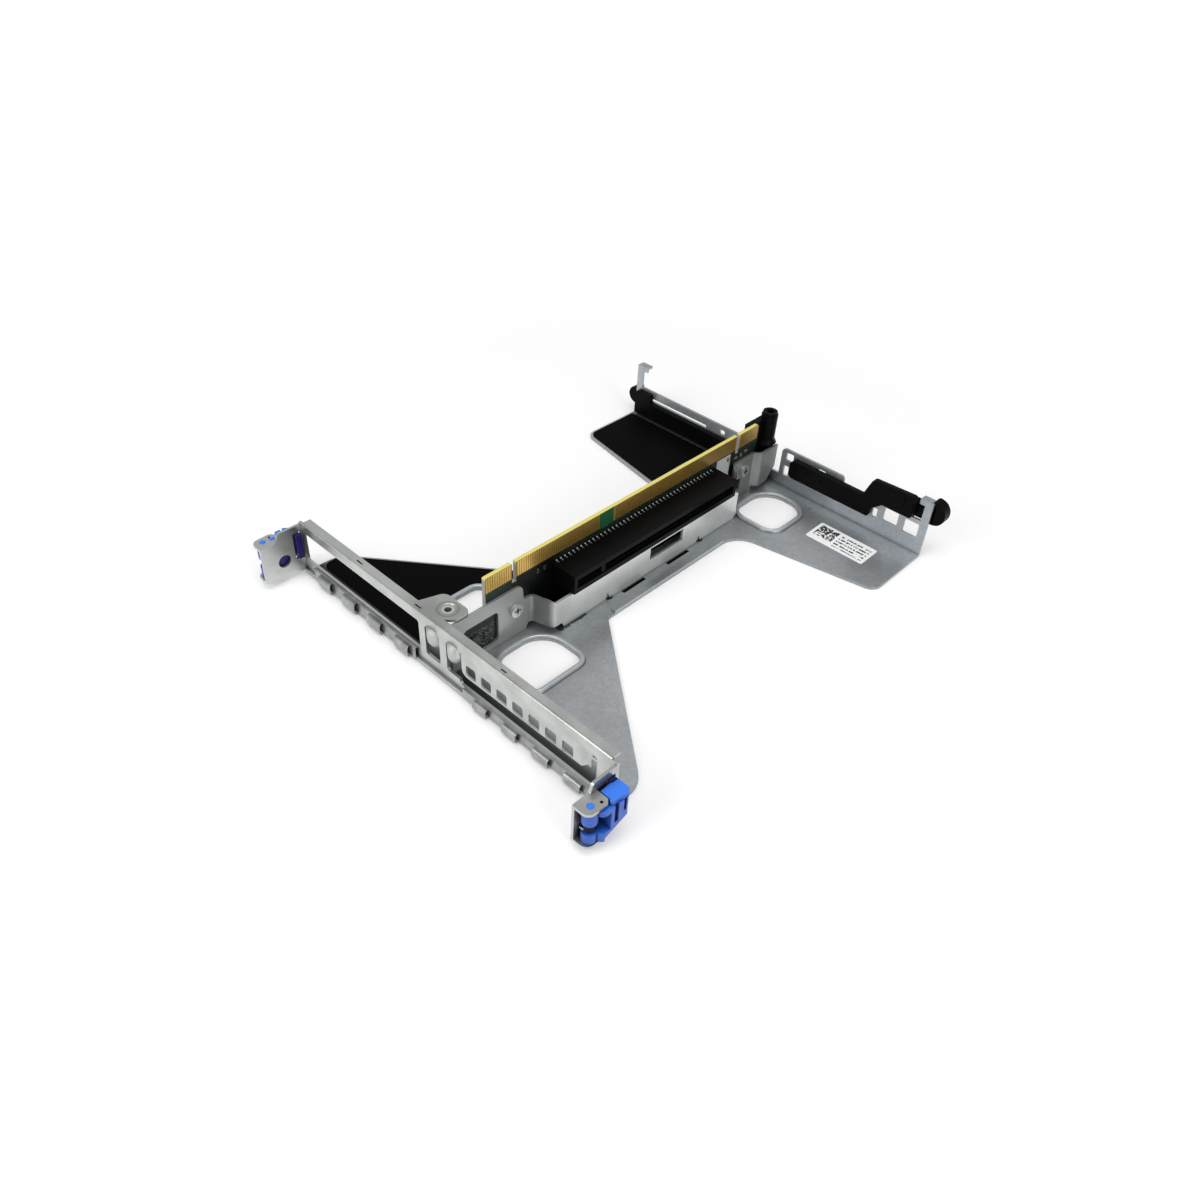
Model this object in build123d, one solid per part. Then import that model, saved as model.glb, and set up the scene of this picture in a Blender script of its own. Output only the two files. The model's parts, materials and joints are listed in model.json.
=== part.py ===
from build123d import *
import os

# A server riser, sitting on the underside of its sheet base with the card edge up.
# X runs across the two expansion slots, Y runs from the slot brackets to the rear
# wall and Z is up. While it is built, x = 0 is the middle of the circuit board,
# y = 0 the front face of the slot bracket and z = 0 the underside of the base.

# Base plate, one folded sheet
SHEET = 1.0
FRONT_HALF = 76.0
WAIST_HALF = 17.6
REAR_HALF = 75.1
FRONT_CORNER_Y = 13.4
WAIST_FRONT_Y = 60.9
WAIST_REAR_Y = 134.4
REAR_CORNER_Y = 145.2
REAR_WALL_Y = 177.0
FRONT_CORNER_R = 10.0
WAIST_FRONT_R = 2.5
WAIST_REAR_R = 10.0
REAR_CORNER_R = 5.0
FOLD_R = 1.2
NEAR_HOLE_X = (6.7, 27.0)
FAR_HOLE_X = (6.8, 27.6)
NEAR_HOLE_Y = 16.0
NEAR_HOLE_L = 23.7
FAR_HOLE_Y = 145.6
FAR_HOLE_L = 23.1
RIM_W = 2.0
RIM_H = 0.9
HEM_W = 2.3
HEM_MARGIN = 3.8
FOOT_SLOT_W = 1.6
FOOT_SLOTS_Y = ((75.2, 87.3), (99.9, 112.3))

# Rear wall and its two end posts
WALL_GAP_HALF = 6.5
WALL_GAP_Z = 6.0
RIGHT_WALL_TOP = 18.4
RIGHT_WALL_STEP_X = 36.8
RIGHT_WALL_LOW = 15.5
LEFT_WALL_TOP = 14.6
POST_W = 5.6
POST_STEM_W = 3.2
POST_CAP_H = 2.2
POST_TOP = 24.6
POST_TAB_L = 3.0

# Slot bracket, one folded sheet
FLANGE_HALF = 75.2
FLANGE_D = 3.5
FLANGE_TOP = 22.6
STRIP_LOW_Z = 18.4
LIP_TOP = 6.2
RIGHT_LIP_TOP = 4.4
LIP_D = 0.9
END_OUT_X = 77.4
END_FRONT_Y = -16.6
END_LOW_Z = 3.7
END_MID_Z = 18.1
END_TOP_Z = 21.5
LEFT_OPENING = (-75.2, -10.3)
RIGHT_OPENING = (9.6, 70.0)
CENTRE_STRIPS = ((-10.3, -7.2), (0.0, 3.4))
HOOD_R = 3.4
HOOD_L = 6.6
HOOD_OUT = 1.1
EAR_BOSS_X = -4.4
EAR_BOSS_Y = 7.7
EAR_BOSS_R = 3.3
EAR_HOLE_R = 1.25
BRACKET_FOLD_R = 0.8
EAR_COLLAR = 2.2
END_HOLE = (-8.3, 9.2)
END_HOLE_R = 2.5

# Latch ears on the end plates
HINGE_X = 80.2
HINGE_Y = -13.3
EAR_OUT_X = 83.0
EAR_REAR_Y = -8.0
LOW_EAR_Z = 4.0
EAR_PIN_HOLE = (81.3, -10.1)
STUB_R = 1.1
STUB_CLEAR = 0.05

# Card latches
LATCH_OUT_X = 84.5
LATCH_REAR_Y = -0.8
LATCH_GAP = 0.3
BARREL_R = 2.4
BARREL_GAP_Z = (8.0, 11.8)
SPRING_R = 1.7
SPRING_WALL = 0.4
LATCH_BODY_X = 77.9
BODY_FRONT_Y = -12.5
GROOVE_D = 1.3
GROOVES = (((-7.7, -6.2), 9.6), ((-4.2, -3.2), 12.0))
JAW_IN_X = 74.9
JAW_Y = (-3.2, -1.0)
JAW_Z = (8.4, 18.2)
WINDOW_CLEAR = 0.6
WEB_Y = -9.0
WEB_LOW_Z = 15.2

# Circuit board with its card edge on top
BOARD_T = 1.57
BOARD_FRONT_Y = 19.1
BOARD_L = 145.8
BOARD_TOP = 31.5
BOARD_LOW_Z = 1.6
BOARD_NOSE_Y = 6.5
BOARD_NOSE_TOP = 16.0
FINGER_H = 6.1
FINGER_W = 0.7
FINGER_T = 0.05
PITCH = 1.0
NOTCH_W = 1.9
NOTCH_Y = 12.6
NOTCH_DEPTH = 8.0
FINGERS_FRONT = 11
FINGERS_REAR = 11
FINGER_TOP = 0.1
REAR_NOTCH_Y = 132.6
BARE_Y = (72.5, 79.5)

# Small parts on the board: middle along Y, middle up Z, length, height, thickness
COMPONENTS = (
    (13.2, 8.6, 4.2, 3.6, 0.9),
    (18.4, 9.4, 1.6, 0.8, 0.6),
    (18.4, 7.2, 1.6, 0.8, 0.6),
    (42.2, 22.6, 0.8, 1.6, 0.5),
    (45.4, 22.6, 0.8, 1.6, 0.5),
    (151.2, 21.6, 1.6, 0.8, 0.5),
    (154.6, 21.6, 0.8, 1.6, 0.5),
    (157.6, 22.4, 1.6, 0.8, 0.5),
    (146.2, 22.8, 0.8, 1.6, 0.5),
)
COMPONENTS_BOTH_Z = 15.0

# Card connectors
CONN_Y = 49.0
CONN_L = 89.0
CONN_W = 7.5
CONN_H = 11.25
CONN_KEY_Y = 14.6
KEY_W = 1.9
SLOT_W = 1.8
SLOT_D = 7.6
SLOT_MARGIN = 1.6
MOUTH_W = 3.6
MOUTH_D = 1.2
RIGHT_CONN_Z = 18.65
LEFT_CONN_Z = 6.1
TAIL_END = 2.0
TAIL_REACH = 1.0
TAIL_T = 0.5

# Board carrier, one folded sheet that holds the board upright
CARRIER_Y = 3.5
CARRIER_TOP = 21.3
FRONT_TAB_END_Y = 34.5
JOG_START_Y = 39.0
JOG_END_Y = 41.4
JOG_FOOT_Z = 3.2
CARRIER_WALL_X = 10.1
CARRIER_WALL_TOP = 13.5
CARRIER_WALL_END = 144.0
JOG_BACK_END = 150.5
TAB_Y = 148.2
TAB_TOP = 19.2
CUP_X = 4.4
CUP_GAP = 1.1
CUP_L = 10.2
SCREW_FRONT = (31.0, 12.8)
SCREW_REAR = (156.9, 13.7)
STAKES_Y = (68.5, 120.0)
STAKE_W = 2.6
SCREW_R = 1.4
SCREW_HEAD_R = 2.6
SCREW_HEAD_H = 1.5
RECESS_W = 0.6
HOLE_CLEAR = 0.1
NUT_FLATS = 5.0
NUT_H = 2.0

# Guide post
POST_X = -0.2
POST_Y = BOARD_FRONT_Y + BOARD_L + 8.4
TUBE_R = 3.4
TUBE_TOP = 34.0
TUBE_BORE_R = 1.7
TUBE_BORE_D = 14.0
COLLAR_Z = 20.2
CLAMP_X = -3.6
CLAMP_L = 3.4
CLAMP_TOP = 31.0
CLAMP_LOW = 6.0

# Card holders on the rear wall
HOLDER_T = 2.4
KNOB_REACH = 5.1
KNOB_D = 4.4

# Thin pieces
FILM_T = 0.3
FILM_MARGIN = 1.0
FILM_HOLE_MARGIN = 2.3
LABEL_T = 0.1
LABEL_SIZE = (26.0, 12.0)
LABEL_IN = 38.3
LABEL_FROM_WALL = 22.1
COVER_X = 10.2
COVER_LOW_Z = 6.6
FILLER_T = 0.8
FILLER_HOLES = 7
FILLER_PITCH = 7.2
FILLER_HOLE = 4.6
STRIP_T = 0.25
STRIP_GAP = 0.5

CUP_Y = BOARD_FRONT_Y + BOARD_L + CUP_GAP
CUP_END_Y = CUP_Y + CUP_L
KNOB_OUT_X = REAR_HALF + KNOB_REACH

# The finished part is centred along Y between the latch ears and the knobs
REAR_END_Y = REAR_WALL_Y + SHEET + KNOB_D
MIDDLE_Y = (END_FRONT_Y + REAR_END_Y) / 2


def outline(corners):
    """A face from (across, up, corner radius) triples."""
    places = [(a, b) for a, b, _ in corners]
    radii = [r for _, _, r in corners]
    return make_face(FilletPolyline(*places, radius=radii, close=True))


def flat(corners, z, height):
    """A sheet lying in XY."""
    return extrude(Plane.XY.offset(z) * outline(corners), amount=height)


def across(corners, y, depth):
    """A sheet standing in XZ, from y towards +Y."""
    return extrude(Plane.XZ.offset(-y) * outline(corners), amount=-depth)


def along(corners, x, width):
    """A sheet standing in YZ, from x towards +X."""
    return extrude(Plane.YZ.offset(x) * outline(corners), amount=width)


def block(x, y, z):
    """A box between two limits along each axis."""
    middle = ((x[0] + x[1]) / 2, (y[0] + y[1]) / 2, (z[0] + z[1]) / 2)
    return Pos(*middle) * Box(x[1] - x[0], y[1] - y[0], z[1] - z[0])


def cut_corners(a, b, cut):
    """A rectangle between two limits along each axis, with small cut corners."""
    (a0, a1), (b0, b1) = a, b
    return [
        (a0 + cut, b0, 0), (a1 - cut, b0, 0), (a1, b0 + cut, 0), (a1, b1 - cut, 0),
        (a1 - cut, b1, 0), (a0 + cut, b1, 0), (a0, b1 - cut, 0), (a0, b0 + cut, 0),
    ]


def rod_z(x, y, radius, z0, z1):
    return Pos(x, y, (z0 + z1) / 2) * Cylinder(radius, z1 - z0)


def rod_x(y, z, radius, x0, x1):
    return Pos((x0 + x1) / 2, y, z) * Rot(0, 90, 0) * Cylinder(radius, x1 - x0)


def mirrored(corners):
    """The same outline on the other side of x = 0, still anticlockwise."""
    return [(-a, b, r) for a, b, r in reversed(corners)]


def ring_of(corners, grow):
    """A closed outline grown outwards by an even margin."""
    return offset(outline(corners), amount=grow, kind=Kind.ARC)


def hole_corners(x, y, length, radii):
    """A thumb-hole outline on the right half, inner front corner first."""
    inner_front, outer_front, outer_rear, inner_rear = radii
    return [
        (x[0], y, inner_front),
        (x[1], y, outer_front),
        (x[1], y + length, outer_rear),
        (x[0], y + length, inner_rear),
    ]


NEAR_HOLE = hole_corners(NEAR_HOLE_X, NEAR_HOLE_Y, NEAR_HOLE_L, (7.0, 3.5, 4.0, 10.0))
FAR_HOLE = hole_corners(FAR_HOLE_X, FAR_HOLE_Y, FAR_HOLE_L, (7.0, 5.5, 8.5, 9.5))
PLATE_HALF = [
    (FRONT_HALF, SHEET, 0),
    (FRONT_HALF, FRONT_CORNER_Y, FRONT_CORNER_R),
    (WAIST_HALF, WAIST_FRONT_Y, WAIST_FRONT_R),
    (WAIST_HALF, WAIST_REAR_Y, WAIST_REAR_R),
    (REAR_HALF, REAR_CORNER_Y, REAR_CORNER_R),
    (REAR_HALF, REAR_WALL_Y + SHEET, 0),
]


def rear_wall():
    """The upturned rear edge with its windows and the two end posts."""
    inner = REAR_HALF - POST_W
    stem = REAR_HALF - POST_STEM_W
    cap_low = POST_TOP - POST_CAP_H
    right = [
        (REAR_HALF, 0, 0),
        (REAR_HALF, POST_TOP, 1.0),
        (inner, POST_TOP, 0),
        (inner, cap_low, 0),
        (stem, cap_low, 0),
        (stem, RIGHT_WALL_LOW, 0),
        (RIGHT_WALL_STEP_X, RIGHT_WALL_LOW, 0),
        (RIGHT_WALL_STEP_X, RIGHT_WALL_TOP, 2.0),
        (WALL_GAP_HALF, RIGHT_WALL_TOP, 2.0),
        (WALL_GAP_HALF, WALL_GAP_Z, 0),
    ]
    left = [
        (-WALL_GAP_HALF, WALL_GAP_Z, 0),
        (-WALL_GAP_HALF, LEFT_WALL_TOP, 2.0),
        (-stem, LEFT_WALL_TOP, 0),
        (-stem, cap_low, 0),
        (-inner, cap_low, 0),
        (-inner, POST_TOP, 0),
        (-REAR_HALF, POST_TOP, 1.0),
        (-REAR_HALF, 0, 0),
    ]
    profile = right + left
    wall = across(profile, REAR_WALL_Y, SHEET)
    edge = REAR_HALF - inner
    windows = (
        ((8.8, 12.4), (13.4, 17.0)),
        ((8.5, 11.0), (6.0, 10.8)),
        ((24.5, 28.2), (15.5, 16.6)),
        ((inner - 17.7, inner - 15.6), (7.4, 11.7)),
        ((inner - 12.8, inner - 6.5), (8.0, 14.0)),
        ((inner - 3.8, inner + edge / 2 - 0.4), (7.4, 13.6)),
        ((1.5 - inner, -33.6), (9.8, 11.3)),
        ((-26.0, -23.4), (10.4, 12.7)),
        ((3.0 - inner, 11.0 - inner), (3.4, 8.6)),
    )
    for x, z in windows:
        wall -= across(cut_corners(x, z, 0.3), REAR_WALL_Y - SHEET, 3 * SHEET)
    for side in (-1, 1):
        x = sorted((side * (REAR_HALF - POST_W), side * REAR_HALF))
        reach = REAR_WALL_Y + SHEET / 2 + POST_TAB_L
        wall += block(x, (REAR_WALL_Y, reach), (POST_TOP - SHEET, POST_TOP))
    return wall


def base_plate():
    """The galvanised base: arms, waist, rolled holes, hems and rear wall."""
    plate = flat(PLATE_HALF + mirrored(PLATE_HALF), 0, SHEET)
    for hole in (NEAR_HOLE, FAR_HOLE):
        for corners in (hole, mirrored(hole)):
            rim = ring_of(corners, RIM_W)
            plate += extrude(Plane.XY.offset(SHEET) * rim, amount=RIM_H, taper=25)
            plate -= flat(corners, -SHEET, 4 * SHEET)
    for side in (-1, 1):
        x = sorted((side * WAIST_HALF, side * (WAIST_HALF - HEM_W)))
        hem = (WAIST_FRONT_Y + HEM_MARGIN, WAIST_REAR_Y - 2 * HEM_MARGIN)
        plate += block(x, hem, (SHEET, 2 * SHEET))
    for y in FOOT_SLOTS_Y:
        slot_x = (CARRIER_WALL_X + SHEET / 2, CARRIER_WALL_X + SHEET / 2 + FOOT_SLOT_W)
        plate -= block(slot_x, y, (-SHEET, 2 * SHEET))
    plate += rear_wall()
    fold = plate.edges().filter_by(Axis.X).group_by(Axis.Z)[0].group_by(Axis.Y)[-1]
    return fillet(fold, FOLD_R)


def io_bracket():
    """The bright slot bracket: flange, face, lip, ear and both end plates."""
    flange = block((-FLANGE_HALF, FLANGE_HALF), (0, FLANGE_D), (FLANGE_TOP - SHEET, FLANGE_TOP))
    for x0, x1 in ((-44.8, -41.7), (-13.5, -10.5), (27.8, 30.2)):
        flange -= block((x0, x1), (1.3, 1.9), (0, 2 * FLANGE_TOP))
    face_low = SHEET
    face = block((-END_OUT_X, END_OUT_X), (0, SHEET), (face_low, FLANGE_TOP - SHEET / 2))
    openings = (
        (LEFT_OPENING, LIP_TOP),
        ((CENTRE_STRIPS[0][1], CENTRE_STRIPS[1][0]), LIP_TOP),
        ((CENTRE_STRIPS[1][1], RIGHT_OPENING[0] + SHEET), LIP_TOP),
        (RIGHT_OPENING, RIGHT_LIP_TOP),
    )
    for x, low in openings:
        face -= across(cut_corners(x, (low, STRIP_LOW_Z), 0.6), -SHEET, 3 * SHEET)
    lip = block((-END_OUT_X, END_OUT_X), (-LIP_D, 0), (SHEET, 2 * SHEET))
    bracket = flange + face + lip + ear() + hoods()
    for side in (-1, 1):
        bracket += end_plate(side)
    top = bracket.edges().filter_by(Axis.X).group_by(Axis.Z)[-1].group_by(Axis.Y)[0]
    return fillet(top, BRACKET_FOLD_R)


def ear():
    """The mounting ear behind the flange, with a drawn and threaded collar."""
    corners = [
        (-14.5, FLANGE_D - SHEET, 0),
        (-11.2, 12.4, 3.0),
        (1.4, 12.4, 2.2),
        (1.4, 6.2, 1.5),
        (-2.1, FLANGE_D - SHEET, 0),
    ]
    sheet = flat(mirrored([(-a, b, r) for a, b, r in corners][::-1]), FLANGE_TOP - SHEET, SHEET)
    collar_low = FLANGE_TOP - SHEET - EAR_COLLAR
    sheet += rod_z(EAR_BOSS_X, EAR_BOSS_Y, EAR_HOLE_R + SHEET, collar_low, FLANGE_TOP - SHEET / 2)
    dish = Pos(EAR_BOSS_X, EAR_BOSS_Y, FLANGE_TOP) * Cone(EAR_BOSS_R - 0.6, EAR_BOSS_R, SHEET / 2)
    sheet -= dish
    return sheet - rod_z(EAR_BOSS_X, EAR_BOSS_Y, EAR_HOLE_R, 0, 2 * FLANGE_TOP)


def hoods():
    """Two rounded tongues drawn forward and down over the middle slots of the face."""
    tongues = []
    low = STRIP_LOW_Z - HOOD_L
    for x0, x1 in ((CENTRE_STRIPS[0][1], CENTRE_STRIPS[1][0]),
                   (CENTRE_STRIPS[1][1], RIGHT_OPENING[0])):
        middle = (x0 + x1) / 2
        bulb = rod_z(middle, HOOD_R - HOOD_OUT, HOOD_R, low, STRIP_LOW_Z + SHEET)
        bulb = chamfer(bulb.edges().group_by(Axis.Z)[0], HOOD_L * 0.45, HOOD_OUT + SHEET / 2)
        keep = block((x0, x1), (-HOOD_OUT, 2 * SHEET), (low, STRIP_LOW_Z + SHEET / 2))
        tongues.append(bulb & keep)
    return tongues[0] + tongues[1]


def end_plate(side):
    """One end plate with the window for the latch's jaw and the two hinge ears."""
    corners = [
        (END_FRONT_Y, END_LOW_Z, 0),
        (-5.0, END_LOW_Z, 2.0),
        (-2.7, 1.7, 0),
        (SHEET, 1.7, 0),
        (SHEET, END_TOP_Z, 0),
        (-9.4, END_TOP_Z, 1.5),
        (-10.4, END_MID_Z, 0),
        (END_FRONT_Y, END_MID_Z, 0),
    ]
    plate = along(corners, END_OUT_X - SHEET, SHEET)
    window_y = (JAW_Y[0] - WINDOW_CLEAR, JAW_Y[1] + WINDOW_CLEAR)
    window_z = (JAW_Z[0] - WINDOW_CLEAR, JAW_Z[1] + WINDOW_CLEAR)
    plate -= along(cut_corners(window_y, window_z, 0.4), END_OUT_X - 2 * SHEET, 3 * SHEET)
    plate -= rod_x(*END_HOLE, END_HOLE_R, END_OUT_X - 2 * SHEET, END_OUT_X + SHEET)
    for z in (LOW_EAR_Z - SHEET, END_MID_Z - SHEET):
        ear_corners = [
            (END_OUT_X - SHEET, END_FRONT_Y, 0),
            (EAR_OUT_X - 0.4, END_FRONT_Y, 2.6),
            (EAR_OUT_X, EAR_REAR_Y - 1.4, 0),
            (EAR_OUT_X - 1.2, EAR_REAR_Y, 0),
            (END_OUT_X - SHEET, EAR_REAR_Y, 0),
        ]
        plate += flat(ear_corners, z, SHEET)
        plate -= rod_z(HINGE_X, HINGE_Y, STUB_R + STUB_CLEAR, z - SHEET, z + 2 * SHEET)
    plate -= rod_z(*EAR_PIN_HOLE, SHEET / 2, END_MID_Z - 2 * SHEET, END_MID_Z + SHEET)
    return plate if side > 0 else mirror(plate, Plane.YZ)


def card_latch(side):
    """One moulded latch: split barrel with stub ends, grooved body and jaw."""
    low = LOW_EAR_Z + LATCH_GAP
    high = END_MID_Z - SHEET - LATCH_GAP
    corners = [
        (LATCH_BODY_X, BODY_FRONT_Y, 0),
        (LATCH_OUT_X - 0.3, BODY_FRONT_Y, 2.0),
        (LATCH_OUT_X, LATCH_REAR_Y - 1.8, 0),
        (LATCH_OUT_X - 1.6, LATCH_REAR_Y, 0),
        (LATCH_BODY_X, LATCH_REAR_Y, 0),
    ]
    body = flat(corners, low, high - low)
    body -= block((LATCH_BODY_X - 1, LATCH_OUT_X + 1), (BODY_FRONT_Y - 1, WEB_Y),
                  (BARREL_GAP_Z[0], WEB_LOW_Z))
    for z in ((low, BARREL_GAP_Z[0]), (BARREL_GAP_Z[1], high)):
        body += rod_z(HINGE_X, HINGE_Y, BARREL_R, *z)
    slant = [
        (WEB_Y - 2, low - 1, 0),
        (LATCH_REAR_Y + 1, low - 1, 0),
        (LATCH_REAR_Y + 1, low + 6.2, 0),
        (WEB_Y - 2, low + 1.4, 0),
    ]
    body -= along(slant, LATCH_BODY_X - 1, 2 * BARREL_R + 4)
    outer_skin = (LATCH_OUT_X - GROOVE_D, LATCH_OUT_X + 1)
    for y, floor in GROOVES:
        body -= block(outer_skin, y, (floor, high + 1))
    body += block((JAW_IN_X, LATCH_BODY_X + 1), JAW_Y, JAW_Z)
    body += rod_z(HINGE_X, HINGE_Y, STUB_R, LOW_EAR_Z - SHEET, END_MID_Z)
    return body if side > 0 else mirror(body, Plane.YZ)


def latch_spring(side):
    """The torsion spring round the latch's core, its fixed leg on the end plate."""
    low, high = BARREL_GAP_Z[0] + LATCH_GAP, BARREL_GAP_Z[1] - LATCH_GAP
    coil = rod_z(HINGE_X, HINGE_Y, SPRING_R, low, high)
    coil -= rod_z(HINGE_X, HINGE_Y, SPRING_R - SPRING_WALL, 0, END_MID_Z)
    leg_y = (HINGE_Y - SPRING_R + 0.1, HINGE_Y - SPRING_R + 0.1 + SPRING_WALL)
    leg = block((END_OUT_X, HINGE_X), leg_y, (low, low + SPRING_WALL))
    spring = coil + leg
    return spring if side > 0 else mirror(spring, Plane.YZ)


def riser_board():
    """The circuit board with both notches of its card edge."""
    rear = BOARD_FRONT_Y + BOARD_L
    corners = [
        (BOARD_NOSE_Y, BOARD_LOW_Z, 0),
        (rear, BOARD_LOW_Z, 0),
        (rear, BOARD_TOP, 1.0),
        (BOARD_FRONT_Y, BOARD_TOP, 0.6),
        (BOARD_FRONT_Y, BOARD_NOSE_TOP, 1.0),
        (BOARD_NOSE_Y, BOARD_NOSE_TOP, 1.0),
    ]
    board = along(corners, -BOARD_T / 2, BOARD_T)
    for y in (NOTCH_Y, REAR_NOTCH_Y):
        middle = BOARD_FRONT_Y + y
        board -= block((-BOARD_T, BOARD_T), (middle - NOTCH_W / 2, middle + NOTCH_W / 2),
                       (BOARD_TOP - NOTCH_DEPTH, BOARD_TOP + 1))
    for y, z in (SCREW_FRONT, SCREW_REAR):
        board -= rod_x(y, z, SCREW_R + HOLE_CLEAR, -BOARD_T, BOARD_T)
    return board


def finger_rows():
    """The front and rear ends of each row of contact fingers along Y."""
    first_notch = BOARD_FRONT_Y + NOTCH_Y
    rear_notch = BOARD_FRONT_Y + REAR_NOTCH_Y
    clear = NOTCH_W - FINGER_W / 2
    front = first_notch - clear - PITCH * (FINGERS_FRONT - 1)
    rear = rear_notch + clear + PITCH * (FINGERS_REAR - 1)
    return (
        (front, first_notch - clear),
        (first_notch + clear, BARE_Y[0]),
        (BARE_Y[1], rear_notch - clear),
        (rear_notch + clear, rear),
    )


def edge_fingers():
    """The gilded card edge, thin bands of fingers on both faces of the board."""
    bands = []
    face = BOARD_T / 2
    for x in ((face, face + FINGER_T), (-face - FINGER_T, -face)):
        for y in finger_rows():
            bands.append(block(x, y, (BOARD_TOP - FINGER_TOP - FINGER_H, BOARD_TOP - FINGER_TOP)))
    return Compound(children=bands)


def board_components():
    """Small soldered parts on both faces of the board."""
    parts = []
    for y, z, length, height, thick in COMPONENTS:
        for side in (-1, 1) if z > COMPONENTS_BOTH_Z else (1,):
            x = sorted((side * BOARD_T / 2, side * (BOARD_T / 2 + thick)))
            parts.append(block(x, (y - length / 2, y + length / 2), (z - height / 2, z + height / 2)))
    return Compound(children=parts)


def connector(side):
    """One card connector: housing with its long slot and the key across it."""
    z = RIGHT_CONN_Z if side > 0 else LEFT_CONN_Z
    x0 = BOARD_T / 2
    end = CONN_Y + CONN_L
    body = block((x0, x0 + CONN_H), (CONN_Y, end), (z - CONN_W / 2, z + CONN_W / 2))
    slot = block((x0 + CONN_H - SLOT_D, x0 + CONN_H + 1), (CONN_Y + SLOT_MARGIN, end - SLOT_MARGIN),
                 (z - SLOT_W / 2, z + SLOT_W / 2))
    mouth = block((x0 + CONN_H - MOUTH_D, x0 + CONN_H + 1), (CONN_Y + SLOT_MARGIN, end - SLOT_MARGIN),
                  (z - MOUTH_W / 2, z + MOUTH_W / 2))
    key_y = CONN_Y + CONN_KEY_Y
    key = block((x0 + CONN_H - SLOT_D, x0 + CONN_H - 0.4), (key_y - KEY_W / 2, key_y + KEY_W / 2),
                (z - MOUTH_W / 2 - 0.2, z + MOUTH_W / 2 + 0.2))
    body = body - slot - mouth + key
    return body if side > 0 else mirror(body, Plane.YZ)


def pins(side):
    """The soldered tails between the housing and the board, as one thin row."""
    z = RIGHT_CONN_Z if side > 0 else LEFT_CONN_Z
    edge = z + CONN_W / 2
    row = block((BOARD_T / 2, BOARD_T / 2 + TAIL_REACH), (CONN_Y + TAIL_END, CONN_Y + CONN_L - TAIL_END),
                (edge, edge + TAIL_T))
    return row if side > 0 else mirror(row, Plane.YZ)


def board_carrier():
    """The carrier: one sheet folded in plan, then trimmed to its side view."""
    inner = BOARD_T / 2 + SHEET / 2
    wall = CARRIER_WALL_X - SHEET / 2
    path = FilletPolyline(
        (inner, CARRIER_Y),
        (inner, JOG_START_Y),
        (wall, JOG_END_Y),
        (wall, CARRIER_WALL_END),
        (inner, JOG_BACK_END),
        (inner, CUP_Y - 3.0),
        (CUP_X - SHEET / 2, CUP_Y),
        (CUP_X - SHEET / 2, CUP_END_Y),
        radius=[2.0, 1.8, 2.0, 2.0, 1.0, 1.0],
    )
    strip = trace(path, line_width=SHEET)
    folded = extrude(strip, amount=2 * CARRIER_TOP)
    far_rim = FAR_HOLE_Y - RIM_W - 1
    tab_low = TAB_Y + 7.8
    side_view = [
        (CARRIER_Y - 1, SHEET, 0),
        (CARRIER_Y - 1, CARRIER_TOP, 0),
        (FRONT_TAB_END_Y, CARRIER_TOP, 2.5),
        (FRONT_TAB_END_Y + 0.6, CARRIER_WALL_TOP + 1, 1.0),
        (JOG_END_Y, CARRIER_WALL_TOP + 1, 0),
        (JOG_END_Y + 1.4, CARRIER_WALL_TOP, 0),
        (CARRIER_WALL_END - 0.6, CARRIER_WALL_TOP, 1.5),
        (CARRIER_WALL_END - 0.6, 5.0, 0),
        (tab_low, 5.0, 0),
        (tab_low, 10.0, 0),
        (TAB_Y, 12.0, 1.2),
        (TAB_Y, TAB_TOP, 2.5),
        (CUP_END_Y + 1, TAB_TOP, 0),
        (CUP_END_Y + 1, 10.0, 0),
        (CUP_END_Y - 5.2, JOG_FOOT_Z, 1.0),
        (CUP_Y - 2.6, JOG_FOOT_Z, 0),
        (CUP_Y - 2.6, SHEET, 0),
        (JOG_BACK_END + 1, SHEET, 0),
        (JOG_BACK_END + 1, 2 * SHEET, 0),
        (far_rim, 2 * SHEET, 0),
        (far_rim, SHEET, 0),
        (JOG_END_Y + 5.0, SHEET, 0),
        (JOG_END_Y + 4.0, JOG_FOOT_Z, 0),
        (JOG_START_Y - 2.0, JOG_FOOT_Z, 0),
        (JOG_START_Y - 3.0, SHEET, 0),
    ]
    carrier = folded & along(side_view[::-1], -1, 2 * CARRIER_WALL_X)
    window = [(8.4, 3.2, 2.0), (23.5, 3.2, 2.0), (23.5, 16.0, 1.5), (8.4, 16.0, 2.0)]
    carrier -= along(window, 0, 3 * SHEET)
    middle = CONN_Y + CONN_L / 2
    carrier -= block((wall - SHEET, wall + SHEET), (middle - 2.5, middle + 16.0), (6.7, 12.0))
    for y in STAKES_Y:
        notch = [(y - STAKE_W / 2, SHEET / 2, 0), (y + STAKE_W / 2, SHEET / 2, 0), (y, SHEET + STAKE_W, 0)]
        carrier -= along(notch, wall - SHEET, 2 * SHEET)
    for y, z in (SCREW_FRONT, SCREW_REAR):
        carrier -= rod_x(y, z, SCREW_R + HOLE_CLEAR, 0, 3 * SHEET)
    foot_y = (CONN_Y + 11.0, CONN_Y + CONN_L - 12.0)
    foot = block((3 * SHEET, wall), foot_y, (SHEET, 2 * SHEET))
    return carrier + foot


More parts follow.
